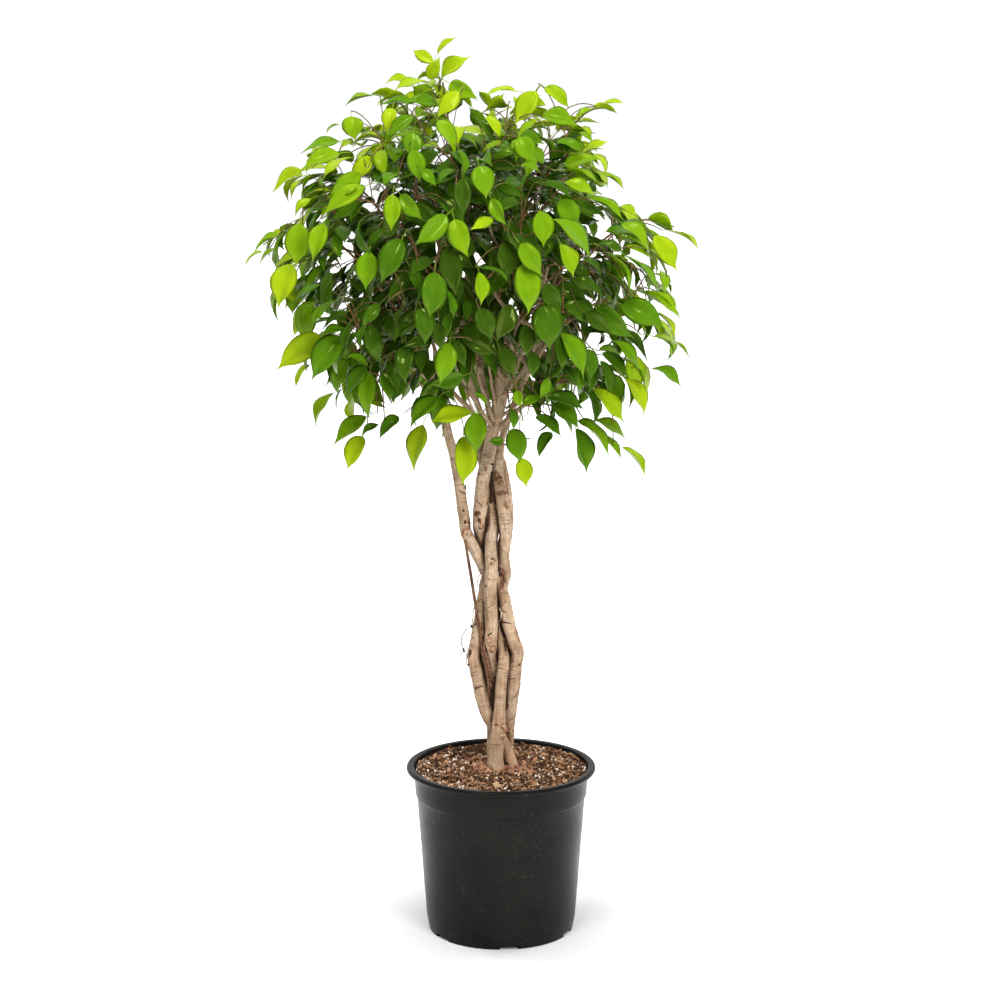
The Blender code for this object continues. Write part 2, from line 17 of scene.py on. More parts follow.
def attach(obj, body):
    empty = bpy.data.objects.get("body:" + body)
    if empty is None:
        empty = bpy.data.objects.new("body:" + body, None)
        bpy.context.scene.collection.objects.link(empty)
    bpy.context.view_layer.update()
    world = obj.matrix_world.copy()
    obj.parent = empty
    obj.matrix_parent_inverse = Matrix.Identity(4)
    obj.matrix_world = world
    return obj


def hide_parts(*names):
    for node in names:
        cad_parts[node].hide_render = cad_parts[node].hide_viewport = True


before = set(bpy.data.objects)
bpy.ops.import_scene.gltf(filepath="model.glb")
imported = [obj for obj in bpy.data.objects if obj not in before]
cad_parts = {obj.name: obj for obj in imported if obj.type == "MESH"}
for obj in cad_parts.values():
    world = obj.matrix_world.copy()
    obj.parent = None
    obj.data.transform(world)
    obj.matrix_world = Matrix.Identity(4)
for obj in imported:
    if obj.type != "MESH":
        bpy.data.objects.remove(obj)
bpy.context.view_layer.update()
# The mix, the wrinkles and most of the crown are laid out by random numbers, the same at each run. Vector noise has a
# seed of its own, without which it changes from run to run.
SEED = 11
random.seed(SEED)
noise.seed_set(SEED)
UP = Vector((0.0, 0.0, 1.0))
print("nodes in the frame:", len(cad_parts))

# %% [markdown]
# ## Camera, backdrop and light
# A studio shot of a plant has a white backdrop with no corner, and big soft lamps. The floor is one sheet, which the
# camera sees as white except close round the pot, and the lamps stay at a level where a colour renders about as it
# is written.
# %% Camera
CAMERA_PLACE = (-0.0013, -3.391, 1.2527)
CAMERA_TILT = math.radians(90 - 11.57)
CAMERA_LENS = 99.74
CAMERA_SENSOR = 36.0
camera = bpy.data.objects.new("camera", bpy.data.cameras.new("camera"))
camera.location = CAMERA_PLACE
camera.rotation_euler = (CAMERA_TILT, 0.0, 0.0)
camera.data.lens = CAMERA_LENS
camera.data.sensor_width = CAMERA_SENSOR
bpy.context.scene.collection.objects.link(camera)
bpy.context.scene.camera = camera
bpy.context.scene.view_settings.view_transform = "Standard"
print("camera at", CAMERA_PLACE)

# %% [markdown]
# ### Node helpers
# Every finish here is a node material. These helpers keep the wiring short: each adds a node, fills in its inputs
# and returns its output, so that a finish reads as one line for each of its steps.
# %% Node helpers
def new_material(name):
    """An empty node material and its output, with a Principled shader already in place."""
    made = bpy.data.materials.new(name)
    made.use_nodes = True
    return made, made.node_tree, made.node_tree.nodes["Principled BSDF"]


def add(tree, kind, **settings):
    """A new node with some of its settings, or of its sockets by name, filled in."""
    node = tree.nodes.new(kind)
    for key, value in settings.items():
        if hasattr(node, key):
            setattr(node, key, value)
        else:
            node.inputs[key.replace("_", " ").title()].default_value = value
    return node


def join(tree, source, target):
    """A link from an output to an input."""
    tree.links.new(source, target)


def maths(tree, operation, *values):
    """A Math node whose inputs are numbers or other nodes' outputs, and that node's output."""
    node = tree.nodes.new("ShaderNodeMath")
    node.operation = operation
    for socket, value in zip(node.inputs, values):
        if isinstance(value, (int, float)):
            socket.default_value = value
        else:
            join(tree, value, socket)
    return node.outputs[0]


def swung(tree, value, amount):
    """A value from 0 to 1 made to swing about zero, by half the amount each way."""
    return maths(tree, "MULTIPLY", maths(tree, "SUBTRACT", value, 0.5), amount)


def off_half(tree, value):
    """How far the part of a value after its point lies from a half."""
    return maths(tree, "ABSOLUTE", maths(tree, "SUBTRACT", maths(tree, "FRACT", value), 0.5))


def blend(tree, factor, first, second, kind="MIX"):
    """A colour mix of two colours or outputs."""
    node = tree.nodes.new("ShaderNodeMix")
    node.data_type = "RGBA"
    node.blend_type = kind
    for socket, value in ((node.inputs[0], factor), (node.inputs[6], first), (node.inputs[7], second)):
        if isinstance(value, (int, float)):
            socket.default_value = value
        elif isinstance(value, tuple):
            socket.default_value = (*value, 1.0)
        else:
            join(tree, value, socket)
    return node.outputs[2]


def ramp(tree, factor, *stops):
    """A colour ramp through (place, colour) stops, where a single number is a grey."""
    node = tree.nodes.new("ShaderNodeValToRGB")
    elements = node.color_ramp.elements
    while len(elements) < len(stops):
        elements.new(0.5)
    for element, (place, colour) in zip(elements, stops):
        element.position = place
        element.color = (*colour, 1.0) if isinstance(colour, tuple) else (colour, colour, colour, 1.0)
    join(tree, factor, node.inputs[0])
    return node.outputs[0]


def grain(tree, where, scale, detail=3.0, roughness=0.5):
    """A noise value at a vector output."""
    node = add(tree, "ShaderNodeTexNoise", scale=scale, detail=detail, roughness=roughness)
    join(tree, where, node.inputs["Vector"])
    return node.outputs["Fac"]


def bump(tree, height, strength, distance, shader):
    """Gives a shader a bump from a height value."""
    node = tree.nodes.new("ShaderNodeBump")
    node.inputs["Strength"].default_value = strength
    node.inputs["Distance"].default_value = distance
    join(tree, height, node.inputs["Height"])
    join(tree, node.outputs[0], shader.inputs["Normal"])


print("node helpers ready")

# %% [markdown]
# ### Floor and backdrop
# The floor glows by itself, but only for the rays that show the backdrop. Under the pot it doesn't glow, and keeps
# the plant's shadow. Further out it glows more and more, until it ends in the same white as the world behind it.
# %% Floor and backdrop
FLOOR_RADIUS = 9.0
FLOOR_COLOUR = (0.73, 0.73, 0.73)
# How much of the backdrop's white the floor adds, by the distance from the pot's axis.
FLOOR_GLOW = ((0.098, 0.0), (0.165, 0.10), (0.20, 0.24), (0.25, 0.60), (0.34, 1.0))


def seen_rays(tree):
    """1 for the rays that show the backdrop: the camera's own, and those that mirror it or pass through to it."""
    path = tree.nodes.new("ShaderNodeLightPath")
    shown = maths(tree, "MAXIMUM", path.outputs["Is Camera Ray"], path.outputs["Is Glossy Ray"])
    return maths(tree, "MAXIMUM", shown, path.outputs["Is Transmission Ray"])


def make_floor():
    """A round floor with the plant's shadow on it, which turns white further out."""
    edit = bmesh.new()
    bmesh.ops.create_circle(edit, cap_ends=True, segments=64, radius=FLOOR_RADIUS)
    mesh = bpy.data.meshes.new("floor")
    edit.to_mesh(mesh)
    edit.free()
    floor = bpy.data.objects.new("floor", mesh)
    bpy.context.scene.collection.objects.link(floor)
    finish, tree, shader = new_material("pale floor")
    shader.inputs["Base Color"].default_value = (*FLOOR_COLOUR, 1.0)
    shader.inputs["Roughness"].default_value = 0.9
    shader.inputs["Specular IOR Level"].default_value = 0.0
    shader.inputs["Emission Color"].default_value = (1.0, 1.0, 1.0, 1.0)
    where = tree.nodes.new("ShaderNodeTexCoord").outputs["Object"]
    away = tree.nodes.new("ShaderNodeVectorMath")
    away.operation = "LENGTH"
    join(tree, where, away.inputs[0])
    glow = ramp(tree, away.outputs["Value"], *FLOOR_GLOW)
    join(tree, maths(tree, "MULTIPLY", glow, seen_rays(tree)), shader.inputs["Emission Strength"])
    mesh.materials.append(finish)


make_floor()
print("floor of radius", FLOOR_RADIUS)

# %% [markdown]
# ### Lamps
# The key lamp hangs in front on the left. A wide fill lamp on the right opens up what the key leaves dark. Two
# smaller lamps stand behind the plant, left and right: they light the crown's rim, and their shadows spread on the
# floor in two lobes. Glossy leaves and plastic mirror only the key lamp and the world.
# %% Lamps and world
# How bright the world is in front of the plant and behind it, and how much of the front glossy faces mirror.
WORLD_LIGHT = 0.44
BACKDROP_LIGHT = 1.05
ROOM_LIGHT = 0.18
# Each lamp's place, the point it is aimed at, its width, its power in watts, and whether glossy faces mirror it.
LAMPS = {
    "key lamp": ((-0.6, -1.9, 3.7), (0.0, 0.0, 0.75), 1.3, 58.0, True),
    "fill lamp": ((1.3, -2.7, 1.9), (0.0, 0.0, 0.6), 1.6, 84.0, False),
    "left lamp": ((-1.25, 0.50, 2.5), (0.0, 0.0, 0.6), 0.8, 20.0, False),
    "right lamp": ((1.25, 0.50, 2.5), (0.0, 0.0, 0.6), 0.8, 16.0, False),
}


def make_world():
    """White behind the plant, and a dimmer room in front of it, which glossy leaves and plastic mirror."""
    world = bpy.data.worlds.new("studio")
    bpy.context.scene.world = world
    world.use_nodes = True
    tree = world.node_tree
    shader = tree.nodes["Background"]
    path = tree.nodes.new("ShaderNodeLightPath")
    way = tree.nodes.new("ShaderNodeSeparateXYZ")
    join(tree, tree.nodes.new("ShaderNodeTexCoord").outputs["Generated"], way.inputs[0])
    behind = ramp(tree, way.outputs["Y"], (0.20, ROOM_LIGHT), (0.65, 1.0))
    mirrored = maths(tree, "MULTIPLY", path.outputs["Is Glossy Ray"], behind)
    shown = maths(tree, "MAXIMUM", path.outputs["Is Camera Ray"], path.outputs["Is Transmission Ray"])
    soft = ramp(tree, way.outputs["Y"], (0.0, WORLD_LIGHT), (0.55, BACKDROP_LIGHT))
    seen = maths(tree, "MAXIMUM", shown, mirrored)
    cast = maths(tree, "MULTIPLY", maths(tree, "SUBTRACT", 1.0, path.outputs["Is Glossy Ray"]), soft)
    join(tree, maths(tree, "MAXIMUM", seen, cast), shader.inputs["Strength"])
    shader.inputs["Color"].default_value = (1.0, 1.0, 1.0, 1.0)


def soft_lamp(name, place, aim, size, power, mirrored):
    """A round area lamp that is aimed at a point."""
    lamp = bpy.data.lights.new(name, "AREA")
    lamp.shape = "DISK"
    lamp.size = size
    lamp.energy = power
    item = bpy.data.objects.new(name, lamp)
    item.location = place
    item.visible_glossy = mirrored
    item.rotation_euler = (Vector(aim) - Vector(place)).to_track_quat("-Z", "Y").to_euler()
    bpy.context.scene.collection.objects.link(item)


make_world()
for name, lamp in LAMPS.items():
    soft_lamp(name, *lamp)
print("soft lamps:", ", ".join(LAMPS))

# %% [markdown]
# ## How a piece is finished
# Each piece is modelled in a bmesh, which is turned into an object at the origin. The piece rides on the frame's
# one body, stands for the CAD nodes that it dresses, and takes the finish that it is given.
# %% Finish a piece
def make_piece(edit, name, finish, slot, *nodes, smooth=True):
    """The bmesh as a piece of the plant that stands for the nodes."""
    mesh = bpy.data.meshes.new(name)
    for face in edit.faces:
        face.smooth = smooth
    edit.to_mesh(mesh)
    edit.free()
    mesh.materials.append(finish)
    piece = bpy.data.objects.new(name, mesh)
    bpy.context.scene.collection.objects.link(piece)
    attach(piece, "root")
    if nodes:
        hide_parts(*nodes)
    print(f"{name}: {len(mesh.polygons)} faces")
    return piece


# %% [markdown]
# ## The pot
# A grower's pot is injection moulded from black plastic: a tapered wall, a wider band above a fine step, and a
# rolled rim. The section is drawn once, with its corners rounded, and spun. The notches round the foot let water
# out, and are cut with Boolean modifiers that are applied at once.
# %% The pot's section
POT_RADIUS = 0.1205
POT_HEIGHT = 0.2150
RIM_DEPTH = 0.0070
RIM_BASE = POT_HEIGHT - RIM_DEPTH
WALL = 0.0015
STEP_HEIGHT = 0.1763
FOOT_RADIUS = 0.0923
BASE_RAISE = 0.0050
PAD_RADIUS = 0.0320
# The heights where the wall's taper changes, and its outer radii there.
WALL_BEND = 0.0166
STEP_FOOT, STEP_TOP = STEP_HEIGHT - 0.0015, STEP_HEIGHT + 0.0015
WALL_HEIGHTS = (0.0, WALL_BEND, STEP_FOOT, STEP_TOP, RIM_BASE)
WALL_RADII = (FOOT_RADIUS, 0.0953, 0.1071, 0.1090, 0.1112)
POT_STEPS = 160
# The notches in the foot ring, with the block that cuts each, and the drain holes between them.
NOTCHES = 6
NOTCH_TURN = math.radians(-83.6)
NOTCH_BLOCK = (0.022, 0.024, 0.0092)
DRAIN_RADIUS = 0.005
DRAIN_RING = 0.062
DRAIN_DEPTH = 0.012


def wall_radius(height):
    """The radius of the pot's outer wall."""
    return float(np.interp(height, WALL_HEIGHTS, WALL_RADII))


def arc(centre, radius, first, last, steps):
    """Points on an arc in the section's plane, with its angles in degrees."""
    angles = [math.radians(first + (last - first) * i / steps) for i in range(steps + 1)]
    return [(centre[0] + radius * math.cos(a), centre[1] + radius * math.sin(a)) for a in angles]


def pot_section():
    """The pot's half section, from the middle of its base inside, up over the rim and down to the middle below."""
    inside = [(0.0, BASE_RAISE + WALL), (0.05, BASE_RAISE + WALL)]
    inside += [(wall_radius(z) - WALL, z) for z in (BASE_RAISE + WALL, WALL_BEND, 0.06, 0.12, STEP_FOOT, STEP_TOP)]
    inside += [(wall_radius(RIM_BASE) - WALL, RIM_BASE + 0.0008)]
    inside += arc((POT_RADIUS - 0.0079, POT_HEIGHT - 0.0024), 0.0020, 200, 95, 4)
    rim = arc((POT_RADIUS - 0.0034, POT_HEIGHT - 0.0034), 0.0034, 88, -40, 10)
    rim += arc((POT_RADIUS - 0.0030, RIM_BASE + 0.0022), 0.0022, -30, -100, 4)
    under = arc((wall_radius(RIM_BASE) + 0.0022, RIM_BASE - 0.0016), 0.0016, 100, 180, 4)
    band = [(wall_radius(z), z) for z in (0.203, 0.195, 0.186, STEP_HEIGHT + 0.0022)]
    step = [(wall_radius(STEP_TOP) - 0.0003, STEP_HEIGHT + 0.0010)]
    step += [(wall_radius(STEP_FOOT) + 0.0004, STEP_HEIGHT - 0.0010)]
    wall = [(wall_radius(z), z) for z in (STEP_HEIGHT - 0.0020, 0.150, 0.110, 0.070, 0.035, 0.0175, 0.0157, 0.0050)]
    foot = arc((FOOT_RADIUS - 0.0008, 0.0010), 0.0010, 0, -80, 3)
    foot += [(FOOT_RADIUS - 0.0038, 0.0), (FOOT_RADIUS - 0.0048, BASE_RAISE)]
    pad = [(PAD_RADIUS + 0.0020, BASE_RAISE), (PAD_RADIUS, 0.0), (0.0, 0.0)]
    return inside + rim + under + band + step + wall + foot + pad


print("points in the pot's section:", len(pot_section()))

# %% [markdown]
# ### Spun and cut
# The section is spun about the pot's axis. Blocks cut the notches out of the foot ring, and plugs cut the drain
# holes halfway between them, all in one Boolean.
# %% Spin the section
def sort_by_place(items, spot):
    """Puts a bmesh's vertices or faces in the order of where they lie."""
    ordered = sorted(items, key=lambda item: [round(number, 6) for number in spot(item)])
    ranks = {item: rank for rank, item in enumerate(ordered)}
    items.sort(key=ranks.get)


def spun(section, steps):
    """A closed shape spun from a half section whose two ends lie on the axis."""
    edit = bmesh.new()
    verts = [edit.verts.new((r, 0.0, z)) for r, z in section]
    geom = verts + [edit.edges.new(pair) for pair in zip(verts, verts[1:])]
    bmesh.ops.spin(edit, geom=geom, cent=(0, 0, 0), axis=(0, 0, 1), angle=math.tau, steps=steps, use_merge=True)
    bmesh.ops.remove_doubles(edit, verts=edit.verts, dist=1e-6)
    bmesh.ops.recalc_face_normals(edit, faces=edit.faces)
    # The spin leaves its vertices and faces in an order that changes from run to run.
    sort_by_place(edit.verts, lambda vert: vert.co)
    sort_by_place(edit.faces, lambda face: face.calc_center_median())
    return edit


def pot_cutters():
    """The blocks of the foot notches and the plugs of the drain holes, as one mesh that doesn't touch itself."""
    edit = bmesh.new()
    for index in range(NOTCHES):
        angle = NOTCH_TURN + index * math.tau / NOTCHES
        block = bmesh.ops.create_cube(edit, size=1.0)["verts"]
        size = Matrix.Diagonal((*NOTCH_BLOCK, 1.0))
        place = Matrix.Rotation(angle, 4, "Z") @ Matrix.Translation((FOOT_RADIUS - 0.001, 0.0, 0.0))
        bmesh.ops.transform(edit, matrix=place @ size, verts=block)
        plug = bmesh.ops.create_cone(
            edit, cap_ends=True, segments=24, radius1=DRAIN_RADIUS, radius2=DRAIN_RADIUS, depth=DRAIN_DEPTH)
        place = Matrix.Rotation(angle + math.pi / NOTCHES, 4, "Z") @ Matrix.Translation((DRAIN_RING, 0.0, BASE_RAISE))
        bmesh.ops.transform(edit, matrix=place, verts=plug["verts"])
    return edit


def cut(piece, cutters):
    """Cuts a bmesh out of a piece with a Boolean modifier, and applies it."""
    mesh = bpy.data.meshes.new("cutters")
    cutters.to_mesh(mesh)
    cutters.free()
    tool = bpy.data.objects.new("cutters", mesh)
    bpy.context.scene.collection.objects.link(tool)
    boolean = piece.modifiers.new("notches", "BOOLEAN")
    boolean.operation = "DIFFERENCE"
    boolean.object = tool
    done = bpy.data.meshes.new_from_object(piece.evaluated_get(bpy.context.evaluated_depsgraph_get()))
    piece.modifiers.clear()
    piece.data = done
    bpy.data.objects.remove(tool)


print("notches and drain holes to cut:", 2 * NOTCHES)

# %% [markdown]
# ### Black plastic
# The plastic is near black with a faint satin sheen. Handling has left it a little grey and scuffed, and potting
# dust lies on it as specks.
# %% Dust group
def dust_group():
    """A shader node group: a colour with fine pale specks and a thin film of dust on it, and how rough it gets."""
    group = bpy.data.node_groups.new("dust", "ShaderNodeTree")
    face = group.interface
    face.new_socket("Colour", in_out="INPUT", socket_type="NodeSocketColor")
    face.new_socket("Dust Colour", in_out="INPUT", socket_type="NodeSocketColor")
    for name in ("Amount", "Speck Size", "Roughness"):
        face.new_socket(name, in_out="INPUT", socket_type="NodeSocketFloat")
    face.new_socket("Colour", in_out="OUTPUT", socket_type="NodeSocketColor")
    face.new_socket("Roughness", in_out="OUTPUT", socket_type="NodeSocketFloat")
    given, made = group.nodes.new("NodeGroupInput"), group.nodes.new("NodeGroupOutput")
    where = group.nodes.new("ShaderNodeTexCoord").outputs["Object"]
    cells = group.nodes.new("ShaderNodeTexVoronoi")
    join(group, where, cells.inputs["Vector"])
    join(group, given.outputs["Speck Size"], cells.inputs["Scale"])
    size = maths(group, "MULTIPLY", grain(group, where, 55.0, 2.0), 0.26)
    speck = maths(group, "LESS_THAN", cells.outputs["Distance"], maths(group, "SUBTRACT", size, 0.035))
    chosen = maths(group, "GREATER_THAN", grain(group, where, 140.0, 2.0), 0.53)
    film = ramp(group, grain(group, where, 26.0, 5.0, 0.6), (0.35, 0.0), (0.75, 1.0))
    amount = maths(group, "MULTIPLY", maths(group, "MULTIPLY", speck, chosen), given.outputs["Amount"])
    hazed = blend(group, maths(group, "MULTIPLY", film, 0.015), given.outputs["Colour"], given.outputs["Dust Colour"])
    join(group, blend(group, amount, hazed, given.outputs["Dust Colour"]), made.inputs["Colour"])
    rough = maths(group, "ADD", given.outputs["Roughness"], maths(group, "MULTIPLY", film, 0.10))
    join(group, rough, made.inputs["Roughness"])
    return group


DUST = dust_group()


def dusted(tree, colour, dust, amount, speck, roughness):
    """A dust node on top of a colour output."""
    node = tree.nodes.new("ShaderNodeGroup")
    node.node_tree = DUST
    join(tree, colour, node.inputs["Colour"])
    node.inputs["Dust Colour"].default_value = (*dust, 1.0)
    node.inputs["Amount"].default_value = amount
    node.inputs["Speck Size"].default_value = speck
    node.inputs["Roughness"].default_value = roughness
    return node


print("nodes in the dust group:", len(DUST.nodes))

# %% [markdown]
# The dust lies on two shades of near black. The pot is spun and cut here, and stands for its CAD node.
# %% Black plastic
def black_plastic():
    """The pot's finish."""
    made, tree, shader = new_material("black plastic")
    where = tree.nodes.new("ShaderNodeTexCoord").outputs["Object"]
    shades = (0.3, (0.0044, 0.0040, 0.0036)), (0.8, (0.0082, 0.0073, 0.0065))
    worn = ramp(tree, grain(tree, where, 9.0, 6.0, 0.65), *shades)
    dust = dusted(tree, worn, (0.36, 0.33, 0.29), 0.62, 420.0, 0.31)
    join(tree, dust.outputs["Colour"], shader.inputs["Base Color"])
    join(tree, dust.outputs["Roughness"], shader.inputs["Roughness"])
    shader.inputs["Specular IOR Level"].default_value = 0.105
    shader.inputs["Specular Tint"].default_value = (1.0, 0.94, 0.88, 1.0)
    bump(tree, grain(tree, where, 900.0, 2.0), 0.12, 0.0004, shader)
    return made


pot = make_piece(spun(pot_section(), POT_STEPS), "nursery_pot", black_plastic(), "black_plastic", "pot")
cut(pot, pot_cutters())
print("pot's faces after cutting:", len(pot.data.polygons))

# %% [markdown]
# ## The potting mix
# A fig stands in a coarse mix of composted bark, coco chips and perlite. Its top is a bed of loose bits that are
# 3 to 10 mm long, so noise on a smooth disc can't show it. The bed itself is a spun body with a rough top, and
# chips, white grains and fibres are strewn over it, each with only a few faces.
# %% The bed
MIX_LEVEL = 0.2095
# The room that the mix keeps to the pot's wall and to its base.
MIX_GAP = 0.0006
MIX_REST = 0.0003
MIX_RADIUS = wall_radius(MIX_LEVEL) - WALL - MIX_GAP
# How far the bed's top stands above its level, rises as a mound and is uneven.
BED_LIFT = 0.0006
BED_MOUND = 0.0014
BED_ROUGH = 0.0019
BED_RINGS = 40
BED_STEPS = 120
# Hollows where the mix has settled beside the trunk, as (x, y, radius, depth).
HOLLOWS = ((0.036, 0.004, 0.009, 0.0042), (-0.046, 0.046, 0.015, 0.0036), (0.010, -0.034, 0.008, 0.0026))


def bed_height(x, y):
    """The height of the bed's top: a low mound with hollows."""
    rough = noise.fractal(Vector((x, y, 0.0)) * 55.0, 0.7, 2.1, 4)
    dip = sum(deep * math.exp(-((math.dist((x, y), (a, b)) / wide) ** 2)) for a, b, wide, deep in HOLLOWS)
    return MIX_LEVEL + BED_LIFT + BED_MOUND * (1 - math.hypot(x, y) / MIX_RADIUS) + BED_ROUGH * rough - dip


def make_bed():
    """The body of the mix, which fills the pot and has a rough top."""
    rings = [(MIX_RADIUS * (1 - i / BED_RINGS), MIX_LEVEL) for i in range(BED_RINGS + 1)]
    base = BASE_RAISE + WALL + MIX_REST
    side = [(wall_radius(z) - WALL - MIX_GAP, z) for z in (base, WALL_BEND, STEP_FOOT, STEP_TOP, 0.206)]
    edit = spun([(0.0, base), *side, *rings], BED_STEPS)
    for vert in edit.verts:
        if vert.co.z > MIX_LEVEL - 0.0001:
            vert.co.z = bed_height(vert.co.x, vert.co.y)
    return edit


print("bed radius", round(MIX_RADIUS, 4))

# %% [markdown]
# ### Loose bits
# A dozen broken shapes are enough. Each bit on the bed is a copy of one of them at its own size, turn and tilt, and
# carries a number, its tone, from which its colour is taken.
# %% Bits strewn on the bed
def chip_shapes(count, flat):
    """Broken bits: coarse spheres pushed about by noise and flattened by the given share."""
    shapes = []
    for index in range(count):
        edit = bmesh.new()
        bmesh.ops.create_icosphere(edit, subdivisions=1, radius=0.5)
        for vert in edit.verts:
            push = noise.noise_vector(vert.co * 1.7 + Vector((index * 7.3, 0.0, 0.0)))
            vert.co += 0.34 * push
        size = Matrix.Diagonal((1.0, random.uniform(0.42, 0.75), flat * random.uniform(0.7, 1.2), 1.0))
        bmesh.ops.transform(edit, matrix=size, verts=edit.verts)
        mesh = bpy.data.meshes.new("chip")
        edit.to_mesh(mesh)
        edit.free()
        mesh.attributes.new("tone", "FLOAT", "POINT")
        shapes.append(mesh)
    return shapes


def add_copy(edit, shape, place, tone):
    """Adds a copy of a shape at a place, with its tone written on every vertex."""
    copy = shape.copy()
    copy.transform(place)
    copy.attributes["tone"].data.foreach_set("value", [tone] * len(copy.vertices))
    edit.from_mesh(copy)
    bpy.data.meshes.remove(copy)


def as_mesh(edit):
    """A mesh from a bmesh, which is freed."""
    mesh = bpy.data.meshes.new("bits")
    edit.to_mesh(mesh)
    edit.free()
    return mesh


def spot_on_bed(spread=1.0):
    """A random place on the bed, within a share of its radius."""
    turn = random.uniform(0, math.tau)
    radius = (MIX_RADIUS - 0.002) * math.sqrt(random.random()) * spread
    return radius * math.cos(turn), radius * math.sin(turn)


def strew(shapes, count, small, large, tones, sink=0.25, tilt=0.5, spread=1.0):
    """Strews copies over the bed at random sizes, turns and tilts, each a little sunk in."""
    edit = bmesh.new()
    edit.verts.layers.float.new("tone")
    for _ in range(count):
        x, y = spot_on_bed(spread)
        size = random.uniform(small, large) * random.uniform(0.7, 1.0)
        size = min(size, 2.2 * max(MIX_RADIUS - math.hypot(x, y), 0.001))
        turn = Matrix.Rotation(random.uniform(0, math.tau), 4, "Z")
        lean = Matrix.Rotation(random.gauss(0, tilt), 4, "X") @ Matrix.Rotation(random.gauss(0, tilt), 4, "Y")
        place = Matrix.Translation((x, y, bed_height(x, y) + size * (0.5 - sink) * 0.5))
        shape = random.choice(shapes)
        add_copy(edit, shape, place @ turn @ lean @ Matrix.Scale(size, 4), random.uniform(*tones))
    return edit


print("strewing helpers ready")

# %% [markdown]
# ### Mix finishes
# The bits share one kind of finish: matt, mottled by grain, with a colour ramp along the tone. Chips run from near
# black to pale wood, perlite is a warm white, and the compost between them is nearly black.
# %% Mix materials
def mix_material(name, stops, roughness, height):
    """A matt material whose colour goes through the stops by the tone of each bit, mottled by grain."""
    made, tree, shader = new_material(name)
    where = tree.nodes.new("ShaderNodeTexCoord").outputs["Object"]
    tone = add(tree, "ShaderNodeAttribute", attribute_name="tone").outputs["Fac"]
    mottle = swung(tree, grain(tree, where, 700.0, 4.0, 0.7), 0.5)
    join(tree, ramp(tree, maths(tree, "ADD", tone, mottle), *stops), shader.inputs["Base Color"])
    shader.inputs["Roughness"].default_value = roughness
    shader.inputs["Specular IOR Level"].default_value = 0.25
    bump(tree, grain(tree, where, 1500.0, 3.0, 0.6), 0.5, height, shader)
    return made


CHIP_SHADES = (
    (0.0, (0.022, 0.009, 0.005)), (0.3, (0.100, 0.042, 0.018)), (0.6, (0.265, 0.125, 0.055)), (1.0, (0.60, 0.39, 0.23)),
)
BARK_CHIP = mix_material("bark chips", CHIP_SHADES, 0.75, 0.0008)
RED_CHIP = mix_material("red chips", [(0.0, (0.13, 0.050, 0.026)), (1.0, (0.55, 0.28, 0.16))], 0.7, 0.0008)
PERLITE = mix_material("perlite", [(0.0, (0.62, 0.47, 0.34)), (1.0, (0.94, 0.84, 0.72))], 0.8, 0.0005)
COMPOST = mix_material("compost", [(0.0, (0.014, 0.006, 0.003)), (1.0, (0.090, 0.040, 0.020))], 0.95, 0.0015)
print("mix finishes:", ", ".join(made.name for made in (BARK_CHIP, RED_CHIP, PERLITE, COMPOST)))

# %% [markdown]
# ### Laying the mix
# Large chips go on the bed first and crumbs after them. Reddish chips and torn bits lie near the trunk, and grains of
# perlite come last.
# %% Lay the bed, the chips and the grains
bed = make_bed()
tone_layer = bed.verts.layers.float.new("tone")
for vert in bed.verts:
    vert[tone_layer] = 0.45 + 0.5 * noise.noise(vert.co * 160.0)
make_piece(bed, "mix_bed", COMPOST, "potting_mix", "potting_mix")
CHIPS = chip_shapes(12, 0.30)
large = strew(CHIPS, 520, 0.006, 0.0130, (0.10, 0.85), sink=0.15, tilt=0.7)
make_piece(large, "mix_chips", BARK_CHIP, "potting_mix", smooth=False)
small = strew(CHIPS, 2300, 0.0025, 0.0062, (0.0, 1.0), sink=0.1, tilt=0.9)
make_piece(small, "mix_crumbs", BARK_CHIP, "potting_mix", smooth=False)
red = strew(CHIPS, 60, 0.006, 0.014, (0.2, 1.0), sink=0.0, tilt=0.9, spread=0.45)
torn = strew(CHIPS, 46, 0.007, 0.016, (0.1, 0.9), sink=-0.1, tilt=1.2, spread=0.30)
red.from_mesh(as_mesh(torn))
make_piece(red, "mix_red_chips", RED_CHIP, "potting_mix", smooth=False)
grains = strew(chip_shapes(6, 0.8), 440, 0.0016, 0.0060, (0.0, 1.0), sink=0.05)
make_piece(grains, "mix_perlite", PERLITE, "potting_mix")

